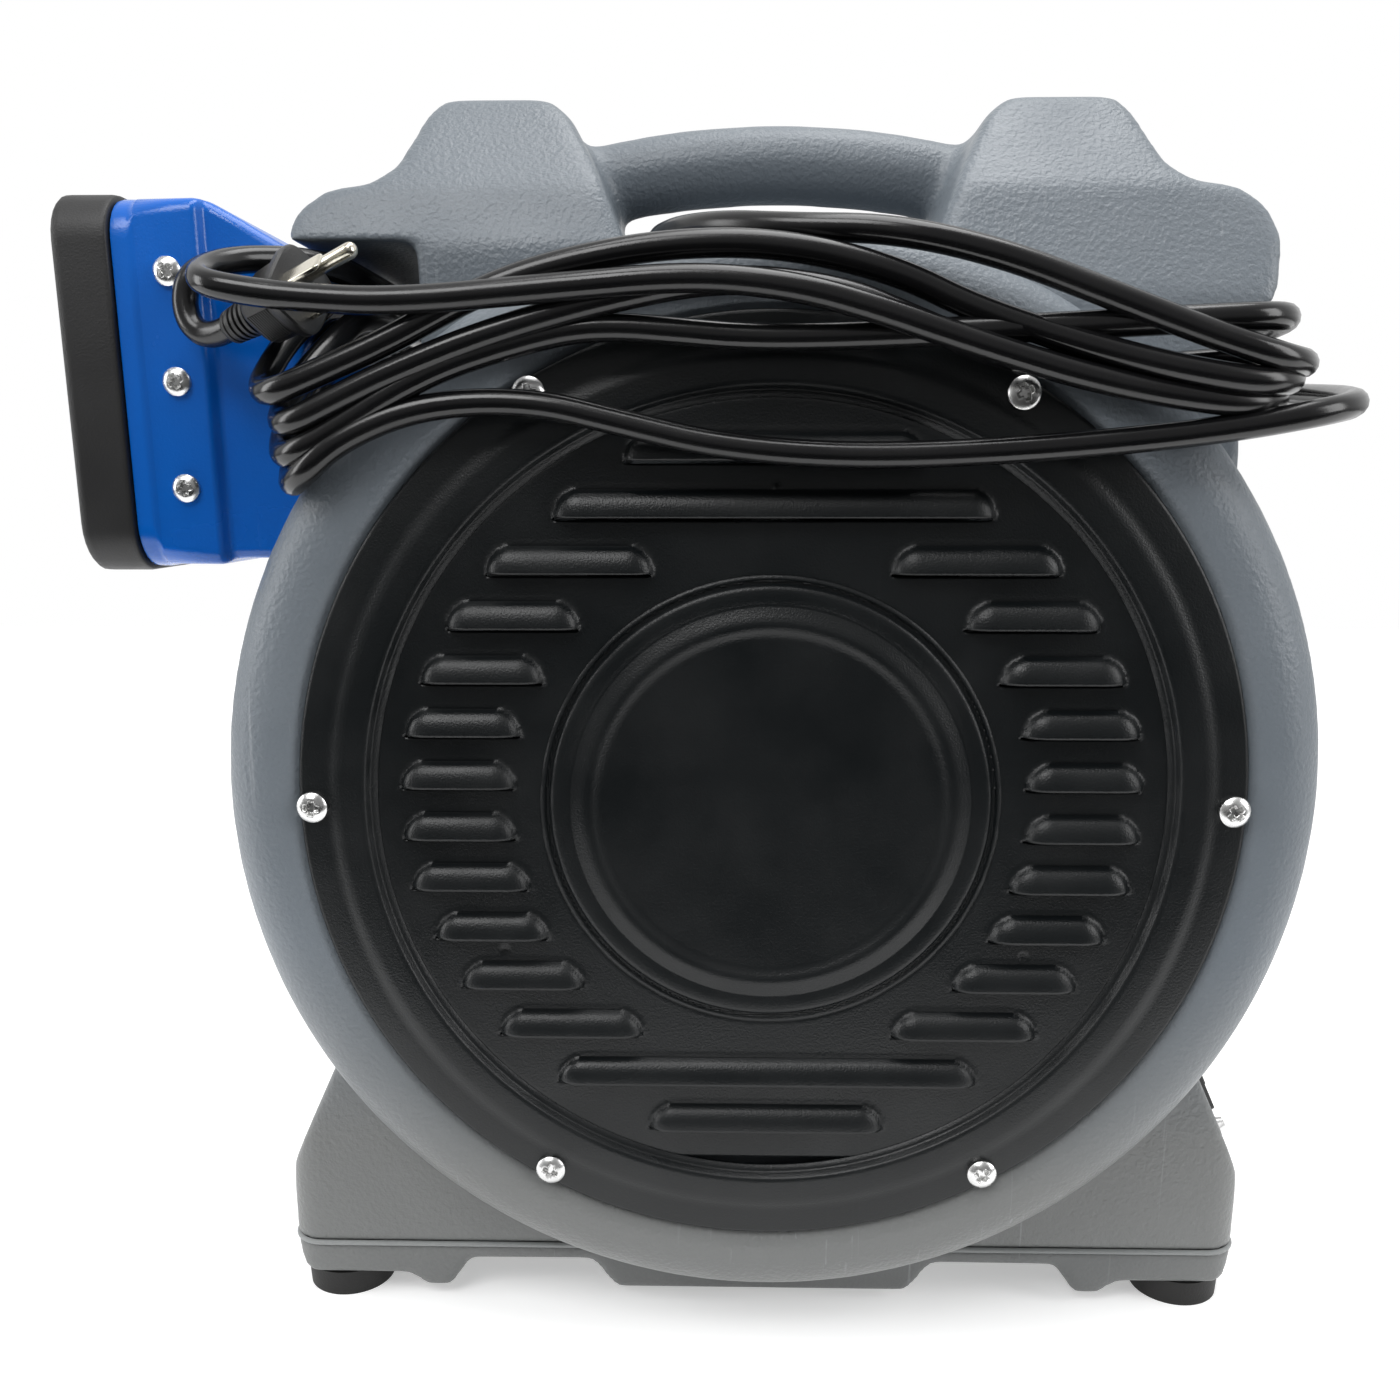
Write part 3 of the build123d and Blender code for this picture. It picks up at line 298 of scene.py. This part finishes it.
MATERIALS = {
    "housing_plastic": moulded("grey_polyethylene", (0.18, 0.205, 0.23), (0.142, 0.165, 0.188), 0.4, 620, 0.0008,
                               0.22, warm=(0.155, 0.16, 0.158)),
    "base_plastic": moulded("grey_base", (0.155, 0.16, 0.158), (0.12, 0.125, 0.125), 0.44, 700, 0.0006, 0.45),
    "nozzle_plastic": moulded("blue_polypropylene", (0.0, 0.135, 0.6), (0.0, 0.12, 0.55), 0.22, 1300, 0.00012, 0.05,
                              (0.3, 0.45, 0.9)),
    "rim_plastic": moulded("black_rim", (0.018, 0.018, 0.0185), (0.013, 0.013, 0.0135), 0.5, 1500, 0.0002, 0.12,
                           (0.12, 0.12, 0.12)),
    "cover_plastic": moulded("black_cover", (0.0036, 0.005, 0.0058), (0.0028, 0.004, 0.0047), 0.36, 1500, 0.0002, 0.03,
                             (0.08, 0.085, 0.09), 0.42),
    "grille_plastic": moulded("black_grille", (0.011, 0.012, 0.013), (0.008, 0.009, 0.01), 0.42, 1500, 0.0002, 0.04,
                              (0.09, 0.09, 0.09)),
    "guard_plastic": moulded("black_guard", (0.013, 0.013, 0.013), (0.01, 0.01, 0.01), 0.4, 1500, 0.0001),
    "foot_rubber": moulded("foot_rubber", (0.011, 0.011, 0.011), (0.018, 0.017, 0.016), 0.62, 1200, 0.0003, 0.2,
                           (0.08, 0.075, 0.07), 0.35),
    "cord_rubber": moulded("cord_jacket", (0.0035, 0.0037, 0.0042), (0.005, 0.005, 0.0055), 0.2, 1900, 0.00004, 0.03,
                           (0.06, 0.06, 0.06), 0.55),
    "gland_rubber": moulded("strain_relief", (0.01, 0.01, 0.01), (0.014, 0.014, 0.014), 0.48, 1500, 0.0001),
    "plug_rubber": moulded("plug_pvc", (0.01, 0.01, 0.0105), (0.014, 0.014, 0.014), 0.4, 1500, 0.0002, 0.1,
                           (0.12, 0.12, 0.12)),
    "panel_plastic": moulded("black_panel", (0.012, 0.012, 0.013), (0.009, 0.009, 0.01), 0.35, 1400, 0.0001, 0.06,
                             (0.1, 0.1, 0.1)),
    "switch_plastic": moulded("gloss_switch", (0.01, 0.01, 0.01), (0.013, 0.013, 0.013), 0.2, 1400, 0.00005),
    "motor_steel": moulded("motor_enamel", (0.02, 0.02, 0.021), (0.015, 0.015, 0.016), 0.4, 1200, 0.0002),
    "bracket_steel": moulded("bracket_enamel", (0.09, 0.095, 0.1), (0.075, 0.08, 0.085), 0.38, 1200, 0.0001),
    "wheel_plastic": moulded("impeller_nylon", (0.02, 0.02, 0.021), (0.015, 0.015, 0.016), 0.48, 1200, 0.0002),
    "liner_plastic": moulded("grey_liner", (0.11, 0.12, 0.13), (0.09, 0.1, 0.11), 0.48, 1200, 0.0002),
    "capacitor_shell": moulded("capacitor_can", (0.46, 0.47, 0.48), (0.4, 0.41, 0.42), 0.4, 1200, 0.0001),
    "plug_brass": metal("plated_brass", (0.85, 0.81, 0.7), (0.76, 0.72, 0.61), 0.16, (1, 6, 6), 900),
    "zinc_screw": metal("zinc_plate", (0.78, 0.78, 0.77), (0.62, 0.62, 0.62), 0.26),
    "motor_bell": metal("cast_aluminium", (0.5, 0.51, 0.52), (0.42, 0.43, 0.44), 0.45),
    "winding_copper": metal("varnished_copper", (0.45, 0.17, 0.07), (0.36, 0.13, 0.05), 0.35, (1, 20, 1)),
    "lamination_steel": metal("laminations", (0.3, 0.31, 0.33), (0.22, 0.23, 0.25), 0.4, (1, 40, 1)),
    "shaft_steel": metal("ground_steel", (0.6, 0.61, 0.62), (0.5, 0.51, 0.52), 0.22, (1, 30, 1)),
}
SLOT_OF = {entry["node"]: entry["material_slot"] for entry in frame["record"]["subparts"]}
for node, piece in NODES.items():
    for material_slot in piece.material_slots:
        material_slot.material = MATERIALS[SLOT_OF[node]]
cord.data.materials.append(MATERIALS["cord_rubber"])


def finish_with(piece, slot):
    piece.data.materials.clear()
    piece.data.materials.append(MATERIALS[slot])
    return piece


# ---------------------------------------------------------------- soft-edged moulded pieces
def soft_copy(name, nodes, voxel, rounds, slot, strength):
    """The CAD nodes as one mesh with moulded, rounded edges; strength says how much a point is smoothed."""
    work = bmesh.new()
    for node in nodes:
        work.from_mesh(NODES[node].data)
    mesh = bpy.data.meshes.new(name)
    work.to_mesh(mesh)
    work.free()
    rough = bpy.data.objects.new(name + "_rough", mesh)
    scene.collection.objects.link(rough)
    remesh = rough.modifiers.new("skin", "REMESH")
    remesh.mode = "VOXEL"
    remesh.voxel_size = voxel
    skinned = bpy.data.meshes.new_from_object(rough.evaluated_get(bpy.context.evaluated_depsgraph_get()))
    bpy.data.objects.remove(rough)
    work = bmesh.new()
    work.from_mesh(skinned)
    for turn in range(rounds):
        moved = [vertex for vertex in work.verts if strength(vertex.co) > turn / rounds]
        bmesh.ops.smooth_vert(work, verts=moved, factor=0.5, use_axis_x=True, use_axis_y=True, use_axis_z=True)
    work.to_mesh(skinned)
    work.free()
    smooth(skinned)
    piece = add_mesh(name, skinned)
    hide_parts(*nodes)
    return finish_with(piece, slot)


HANDLE_ENDS = [at(-62, 105, 212), at(66, 105, 212)]


def near_handle(point):
    """Full smoothing where the handle grows out of the towers, and light smoothing elsewhere."""
    nearest = min((point - end).length for end in HANDLE_ENDS)
    if point.z < 0.03:
        return 0.12
    return max(0.3 if point.z < 0.372 else 0.55, 1.25 - nearest / 0.045)


soft_copy("moulded_shell", ["housing", "left_tower", "right_tower", "handle_bar"], 0.0018,
          22, "housing_plastic", strength=near_handle)
soft_copy("base_pan", ["base_tray"], 0.0018, 6, "base_plastic",
          strength=lambda point: 0.9 if point.z < 0.019 else 0.1)


LOUVRE_PITCH = 17.5
CELL = LOUVRE_PITCH / 20
TOP_LIP = 111.6  # the highest row's lower edge, above the axis
# where each row's hoods begin and end; a row that begins right of the axis is mirrored to its left
HOODS = [(-47, 47), (-69.5, 69.5), (38, 91.5), (62, 105), (74, 114), (82, 120), (84, 122.4),
         (84.7, 122.2), (80.5, 120.2), (74.7, 113), (63, 104.8), (43, 92), (-72.5, 72.5), (-40.7, 40.7)]


def ease(value, low, high):
    """0 at low, 1 at high, and smooth between."""
    value = min(1.0, max(0.0, (value - low) / (high - low)))
    return value * value * (3 - 2 * value)


def hood_rise(x, z):
    """How far a louvre stands out of the panel at a point, in millimetres, with a low ridge round it."""
    row = math.floor((TOP_LIP + 9.9 - z) / LOUVRE_PITCH)
    if not 0 <= row < len(HOODS):
        return 0.0
    start, end = HOODS[row]
    x = abs(x) if start > 0 else x
    rise = z - (TOP_LIP - row * LOUVRE_PITCH)
    if rise < -0.1:
        return 0.0
    part = max(0.0, 1 - min(x - start, end - x) / 8.5) ** 2 + (rise / 8.6) ** 2
    if part < 1:
        return 4.9 * math.sqrt(1 - part)
    return 0.3 * ease(part, 1.0, 1.12) * ease(part, 1.34, 1.16)


# small round marks in the panel, then the disc's and the band's outlines, as radius and depth
DIMPLES = [(1, 103.5), (-90, -50.5), (86.5, -52)]
DISC = [(0, 2.7), (55.5, 2.7), (57, 2.5), (58.4, 1.75), (59.6, 1.25), (60.8, 1.1), (62, 1.3), (63.4, 1.8),
        (65, 2.4), (66.2, 2.8), (66.7, 2.95), (67.3, 2.65), (71.2, 2.6), (72.2, 2.75), (72.9, 3.3),
        (73.5, 4.3), (74.4, 4.3), (75.1, 3.4), (76.4, 3.4)]
BAND = [(130.6, 3.4), (132.6, 3.35), (133.3, 2.7), (133.9, 0.7), (134.6, 0.1), (136, 0), (141.5, 0), (143.2, 0.15),
        (145, 0.85), (146.5, 1.35), (148, 1.5), (155, 1.5), (156, 1.75), (156.5, 2.5), (156.5, 5.2), (150, 5.2)]


def louvred_cover():
    """The cover's skin: a square-celled panel with its louvres, between a turned disc and a turned band."""
    work = bmesh.new()
    for section in (DISC, BAND):
        rings = [[work.verts.new(at(radius * math.cos(2 * math.pi * step / 240), depth,
                                    radius * math.sin(2 * math.pi * step / 240))) for step in range(240)]
                 for radius, depth in section if radius]
        for low, high in zip(rings, rings[1:]):
            for step in range(240):
                after = (step + 1) % 240
                work.faces.new((low[step], low[after], high[after], high[step]))
        if section[0][0] == 0:
            work.faces.new(rings[0])
    grid, proud = {}, {}
    reach = int(133 / CELL) + 1
    for column in range(-reach, reach + 1):
        for line in range(-reach, reach + 1):
            x, z = column * CELL, TOP_LIP - LOUVRE_PITCH * 6 + line * CELL
            radius = math.hypot(x, z)
            if not 74.6 - CELL < radius < 131.4 + CELL:
                continue
            out = hood_rise(x, z)
            sunk = 0.6 * (ease(radius, 76.4, 75.4) + ease(radius, 130.6, 131.6))
            sunk += sum(0.9 * ease(math.hypot(x - dx, z - dz), 1.6, 0.5) for dx, dz in DIMPLES)
            grid[column, line] = work.verts.new(at(x, 3.5 - out + sunk, z))
            proud[column, line] = out
    for column, line in grid:
        corners = [(column, line), (column + 1, line), (column + 1, line + 1), (column, line + 1)]
        if not all(corner in grid for corner in corners):
            continue
        # below each lower lip the panel is cut away, which is where the air goes in
        if proud[corners[2]] > 0.8 and proud[corners[1]] == 0 and proud[corners[0]] == 0:
            continue
        work.faces.new([grid[corner] for corner in corners])
    bmesh.ops.recalc_face_normals(work, faces=work.faces)
    for face in work.faces:
        face.normal_update()
    front = 0.005 - 0.10775
    facing_back = [face for face in work.faces if face.normal.y > 0.3 and face.calc_center_median().y < front]
    bmesh.ops.reverse_faces(work, faces=facing_back)
    piece = to_piece("louvred_cover", work, 50)
    skin = piece.modifiers.new("wall", "SOLIDIFY")
    skin.thickness = 0.0014
    skin.offset = -1
    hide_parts("front_cover")
    return finish_with(piece, "cover_plastic")


louvred_cover()


# ---------------------------------------------------------------- nozzle and rim
def rounded_ring(x, front, back, low, high, radius, steps=7):
    """Points round a rounded rectangle across the air's way."""
    radius = max(0.05, min(radius, (back - front) / 2 - 0.01, (high - low) / 2 - 0.01))
    ring = []
    corners = ((back - radius, high - radius, 0), (front + radius, high - radius, 90),
               (front + radius, low + radius, 180), (back - radius, low + radius, 270))
    for depth, z, start in corners:
        for step in range(steps + 1):
            angle = math.radians(start + 90 * step / steps)
            ring.append(at(x, depth + radius * math.cos(angle), z + radius * math.sin(angle)))
    return ring


def duct(name, stations, slot, nodes, closed=False):
    """A skin through stations of (x, front, back, low, high, corner radius), one after another."""
    work = bmesh.new()
    rings = [[work.verts.new(point) for point in rounded_ring(*station)] for station in stations]
    pairs = list(zip(rings, rings[1:])) + ([(rings[-1], rings[0])] if closed else [])
    for low, high in pairs:
        for index in range(len(low)):
            after = (index + 1) % len(low)
            work.faces.new((low[index], low[after], high[after], high[index]))
    if not closed:
        work.faces.new(rings[0])
        work.faces.new(list(reversed(rings[-1])))
    bmesh.ops.recalc_face_normals(work, faces=work.faces)
    piece = to_piece(name, work, 50)
    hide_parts(*nodes)
    return finish_with(piece, slot)


duct("air_nozzle", [
    (-160, 50, 160, 84, 174, 4), (-187, 50, 160, 84, 188, 5), (-217, 49, 161, 86, 188, 8), (-218.6, 48, 162, 85, 189, 8),
    (-219, 45, 165, 82, 192, 10), (-219, 41, 169, 78, 195.5, 13), (-218.3, 39.3, 170.7, 76.3, 197.2, 14.5),
    (-217, 39, 171, 76, 197.5, 15), (-213.6, 39, 171, 76, 197.5, 15), (-212.2, 39.2, 170.8, 76.2, 197.3, 14),
    (-211.2, 39.9, 170.1, 76.7, 196.8, 10), (-210.6, 40.4, 169.6, 77, 196.5, 7), (-192, 40.5, 169.5, 77, 196.5, 5),
    (-190.8, 40.8, 169.2, 77.2, 196.4, 5), (-189.8, 42, 168, 77.8, 196.3, 4.5), (-189, 44.2, 165.8, 78.4, 196.2, 4),
    (-188, 45, 165, 78.6, 196, 4), (-186.5, 45, 165, 78.8, 195.4, 4), (-183.5, 45, 165, 79, 193.8, 4),
    (-176, 45, 165, 79, 189.6, 4), (-175, 45.1, 165, 79, 188.9, 4), (-163, 45.2, 164.8, 79, 182, 4),
    (-159.6, 45.3, 164.7, 79, 180, 4), (-158.4, 45.9, 164.1, 79.2, 178.8, 4), (-158, 47, 163, 79.6, 177.5, 4),
    (-158, 60, 150, 80, 146, 3), (-157.5, 58.5, 151.5, 79.2, 145, 3), (-141, 58, 152, 79, 145, 3)],
    "nozzle_plastic", ["nozzle_duct"])
duct("nozzle_face_rim", [
    (-219.3, 37.8, 172.2, 75, 198.5, 16), (-219, 38.6, 171.4, 76, 197.6, 15), (-219, 46.5, 163.5, 83.5, 190, 9),
    (-237, 46.5, 163.5, 83.5, 190, 9), (-237.8, 45.8, 164.2, 82.8, 190.8, 9), (-238, 44.4, 165.6, 81.4, 192.2, 10),
    (-238, 40, 170, 77, 196.6, 14), (-237.7, 38.6, 171.4, 75.6, 198, 15.5), (-236.6, 37.6, 172.4, 74.6, 198.9, 16.4),
    (-234.6, 37.5, 172.5, 74.5, 199, 16.5), (-221, 37.5, 172.5, 74.5, 199, 16.5), (-219.8, 37.5, 172.5, 74.7, 198.8, 16.3)],
    "rim_plastic", ["nozzle_rim"], closed=True)


# ---------------------------------------------------------------- screws
def cross_recess(u, v, size):
    """How deep a Phillips recess is at a point of the head, from 0 to 1."""
    arm = 0.16 * size
    reach = 0.58 * size
    across, along = min(abs(u), abs(v)), max(abs(u), abs(v))
    return ease(across, arm * 1.35, arm * 0.8) * ease(along, reach, reach * 0.55)


def phillips_screws(name, places, head, height, nodes):
    """Pan-head screws, all on one piece: places are (origin, direction) of each head's seat."""
    work = bmesh.new()
    around = 72
    for number, (origin, direction) in enumerate(places):
        matrix = looking(origin, direction) @ Matrix.Rotation(0.7 + 1.3 * number, 4, "Z")
        rings = []
        for step in range(30):
            part = step / 29
            radius = head * (1.0 if part > 0.86 else math.sin(part / 0.86 * math.pi / 2) ** 0.8)
            top = height * (1 - 0.55 * (radius / head) ** 3)
            if part > 0.86:
                top *= 1 - (part - 0.86) / 0.14
            if step == 0:
                rings.append([work.verts.new(matrix @ Vector((0, 0, height * 0.3)))])
                continue
            ring = []
            for turn in range(around):
                angle = 2 * math.pi * turn / around
                u, v = radius * math.cos(angle), radius * math.sin(angle)
                sink = cross_recess(u, v, head) * height * 0.7 if part <= 0.86 else 0
                ring.append(work.verts.new(matrix @ Vector((u, v, top - sink))))
            rings.append(ring)
        for turn in range(around):
            work.faces.new((rings[0][0], rings[1][turn], rings[1][(turn + 1) % around]))
        for low, high in zip(rings[1:], rings[2:]):
            for turn in range(around):
                after = (turn + 1) % around
                work.faces.new((low[turn], high[turn], high[after], low[after]))
    piece = to_piece(name, work, 48)
    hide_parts(*nodes)
    return finish_with(piece, "zinc_screw")


BOLT_RADIUS = 152


def bolt_circle(depth, forward):
    """Six screw seats round the axis."""
    turns = [math.pi * step / 3 for step in range(6)]
    return [(at(BOLT_RADIUS * math.cos(turn), depth, BOLT_RADIUS * math.sin(turn)), (0, forward, 0))
            for turn in turns]


phillips_screws("cover_phillips", bolt_circle(1.5, -1), 0.0051, 0.0031, ["cover_screws"])
phillips_screws("grille_phillips", bolt_circle(208.5, 1), 0.0051, 0.0031, ["grille_screws"])
nozzle_seats = [(at(-200.5, depth, z), (0, forward, 0))
                for depth, forward in ((40.5, -1), (169.5, 1)) for z in (173, 138, 103)]
phillips_screws("nozzle_phillips", nozzle_seats, 0.0047, 0.0029, ["nozzle_screws"])

# ---------------------------------------------------------------- plug
PLUG_YAW, PLUG_RISE, PLUG_ROLL = math.radians(30), math.radians(16), math.radians(50)
plug_axis = Vector((math.cos(PLUG_RISE) * math.cos(PLUG_YAW), -math.cos(PLUG_RISE) * math.sin(PLUG_YAW),
                    math.sin(PLUG_RISE)))
plug_side = Vector((math.sin(PLUG_YAW), math.cos(PLUG_YAW), 0))
pin_way = plug_side * math.cos(PLUG_ROLL) + plug_axis.cross(plug_side) * math.sin(PLUG_ROLL)
plug_turn = Matrix((pin_way.cross(plug_axis) * -1, -pin_way, plug_axis)).transposed().to_4x4()
PLUG = Matrix.Translation(at(-146, 7.5, 163)) @ plug_turn
# each station: from the face, half width, half height, and 2 for round up to 8 for square
PLUG_BODY = [(0, 10.2, 12.2, 3.6), (-0.5, 10.9, 12.9, 3.6), (-3, 10.9, 12.9, 3.6), (-3.7, 10.5, 12.5, 3.6),
             (-4.1, 9.4, 11.6, 3.8), (-5, 9.1, 11.3, 4), (-15.5, 8.7, 10.4, 4), (-17.5, 8.2, 9.6, 3.6),
             (-19.5, 6.9, 7.4, 2.6), (-20.6, 6.4, 6.5, 2)]
for rib in range(5):
    PLUG_BODY += [(-20.9 - 2.6 * rib, 5.1, 5.1, 2), (-21.7 - 2.6 * rib, 5.1, 5.1, 2),
                  (-22 - 2.6 * rib, 6.3 - 0.22 * rib, 6.3 - 0.22 * rib, 2),
                  (-23.2 - 2.6 * rib, 6.25 - 0.22 * rib, 6.25 - 0.22 * rib, 2)]
PLUG_BODY += [(-34.2, 5.0, 5.0, 2), (-34.8, 4.4, 4.4, 2)]
BLADE = [(-1, 0.75, 3.15, 8), (15.4, 0.75, 3.15, 8), (16.6, 0.6, 2.8, 6), (17, 0.3, 2.3, 6)]
PIN = [(-1, 2.4, 2.4, 2), (19, 2.4, 2.4, 2), (20, 2.15, 2.15, 2), (20.7, 1.5, 1.5, 2), (21, 0.6, 0.6, 2)]


def skin(work, stations, centre, around=56):
    """Adds a closed skin through rounded sections along the plug's axis."""
    rings = []
    for along, wide, high, square in stations:
        ring = []
        for step in range(around):
            angle = 2 * math.pi * step / around
            across, up = math.cos(angle), math.sin(angle)
            reach = (abs(across) ** square + abs(up) ** square) ** (-1 / square)
            place = Vector((centre[0] + wide * across * reach, centre[1] + high * up * reach, along))
            ring.append(work.verts.new(PLUG @ (place / 1000)))
        rings.append(ring)
    for low, high in zip(rings, rings[1:]):
        for step in range(around):
            after = (step + 1) % around
            work.faces.new((low[step], low[after], high[after], high[step]))
    work.faces.new(rings[0])
    work.faces.new(rings[-1])


def block(work, low, high):
    """Adds a box between two corners in the plug's own millimetres."""
    made = bmesh.ops.create_cube(work, size=1)["verts"]
    for vertex in made:
        place = Vector([low[axis] if vertex.co[axis] < 0 else high[axis] for axis in range(3)])
        vertex.co = PLUG @ (place / 1000)


def finished(name, work, slot, nodes):
    """Ends one of the plug's pieces."""
    bmesh.ops.recalc_face_normals(work, faces=work.faces)
    piece = to_piece(name, work, 35)
    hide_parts(*nodes)
    return finish_with(piece, slot)


work = bmesh.new()
skin(work, PLUG_BODY, (0, 0))
# the grip's ridges, on both broad sides
for row in range(10):
    along = -6.2 - row
    half = 10.9 - 0.085 * row
    block(work, (-5, half - 0.5, along - 0.5), (5, half + 0.45, along))
    block(work, (-5, -half - 0.45, along - 0.5), (5, 0.5 - half, along))
moulded_plug = finished("moulded_plug", work, "plug_rubber", ["plug_body"])
work = bmesh.new()
skin(work, BLADE, (-6.35, 3.5))
skin(work, BLADE, (6.35, 3.5))
skin(work, PIN, (0, -7), 32)
plug_contacts = finished("plug_contacts", work, "plug_brass", ["plug_blades", "plug_ground_pin"])

# ---------------------------------------------------------------- moulding flash where the shell meets the tray
BASE_HALF, BASE_FRONT, BASE_BACK, BASE_CORNER = 184, 36, 174, 12
# the flash's section: how far out of the base's side, and its height
FLASH = ((-0.6, -185.1), (0.25, -184.9), (0.6, -184.5), (0.6, -183.7), (0.2, -183.3), (-0.6, -183.1))


def flash_ring(out, z):
    """Points round the base's rounded outline, set out by so many millimetres."""
    ring = []
    radius = BASE_CORNER + out
    side, back, front = BASE_HALF - BASE_CORNER, BASE_BACK - BASE_CORNER, BASE_FRONT + BASE_CORNER
    for x, depth, start in ((side, back, 0), (-side, back, 90), (-side, front, 180), (side, front, 270)):
        for step in range(9):
            angle = math.radians(start + 90 * step / 8)
            ring.append(at(x + radius * math.cos(angle), depth + radius * math.sin(angle), z))
    return ring


work = bmesh.new()
rings = [[work.verts.new(point) for point in flash_ring(out, z)] for out, z in FLASH]
for low, high in zip(rings, rings[1:] + rings[:1]):
    for step in range(len(low)):
        after = (step + 1) % len(low)
        work.faces.new((low[step], low[after], high[after], high[step]))
bmesh.ops.recalc_face_normals(work, faces=work.faces)
flash = to_piece("seam_flash", work, 50)
flash.data.materials.append(moulded("pale_flash", (0.27, 0.28, 0.28), (0.19, 0.2, 0.2), 0.45, 700, 0.0003))

# ---------------------------------------------------------------- studio
floor_mesh = bpy.data.meshes.new("floor")
floor_mesh.from_pydata([(-2, -0.4, 0), (2, -0.4, 0), (2, 2.4, 0), (-2, 2.4, 0)], [], [(0, 1, 2, 3)])
floor = bpy.data.objects.new("floor", floor_mesh)
scene.collection.objects.link(floor)
floor_paint = Graph("pale_floor")
pale = floor_paint.mix(floor_paint.noise(3, 3), (0.9, 0.9, 0.9), (0.86, 0.86, 0.86))
floor_paint.set(Base_Color=pale, Roughness=0.7, Emission_Color=(1, 1, 1), Emission_Strength=0.38,
                Specular_IOR_Level=0.2)
floor.data.materials.append(floor_paint.material)


def area_light(name, place, target, size, power, colour=(1, 1, 1)):
    data = bpy.data.lights.new(name, "AREA")
    data.shape = "RECTANGLE"
    data.size, data.size_y = size
    data.energy = power
    data.color = colour
    lamp = bpy.data.objects.new(name, data)
    scene.collection.objects.link(lamp)
    lamp.location = place
    lamp.rotation_euler = (Vector(target) - Vector(place)).to_track_quat("-Z", "Y").to_euler()


area_light("key", (-0.7, -1.4, 1.9), (0.0, 0, 0.2), (1.3, 0.9), 22)
area_light("top", (0.2, -0.1, 2.2), (0.0, 0, 0.2), (1.8, 1.0), 24)
area_light("right", (1.8, -0.8, 1.0), (0.0, 0, 0.2), (0.8, 1.4), 14)
area_light("left", (-2.0, -0.4, 0.8), (0.0, 0, 0.25), (0.6, 1.4), 12)
# the object reflects a gradient, dark in front and below; the backdrop itself is plain white
world = bpy.data.worlds.new("studio")
scene.world = world
world.use_nodes = True
sky = world.node_tree
direction = sky.nodes.new("ShaderNodeTexCoord")
parts = sky.nodes.new("ShaderNodeSeparateXYZ")
sky.links.new(direction.outputs["Generated"], parts.inputs[0])
behind = sky.nodes.new("ShaderNodeMapRange")
for index, value in enumerate((-0.7, 0.5, 0.26, 0.92)):
    behind.inputs[index + 1].default_value = value
sky.links.new(parts.outputs[1], behind.inputs[0])
above = sky.nodes.new("ShaderNodeMapRange")
for index, value in enumerate((-0.25, 0.12, 0.12, 1.0)):
    above.inputs[index + 1].default_value = value
sky.links.new(parts.outputs[2], above.inputs[0])
strength = sky.nodes.new("ShaderNodeMath")
strength.operation = "MULTIPLY"
sky.links.new(behind.outputs[0], strength.inputs[0])
sky.links.new(above.outputs[0], strength.inputs[1])
sky.nodes["Background"].inputs[0].default_value = (1, 1, 1, 1)
backdrop = sky.nodes.new("ShaderNodeMix")
seen = sky.nodes.new("ShaderNodeLightPath")
sky.links.new(seen.outputs["Is Camera Ray"], backdrop.inputs[0])
sky.links.new(strength.outputs[0], backdrop.inputs[2])
backdrop.inputs[3].default_value = 1.0
sky.links.new(backdrop.outputs[0], sky.nodes["Background"].inputs[1])
scene.view_settings.view_transform = "Standard"

bpy.context.view_layer.update()
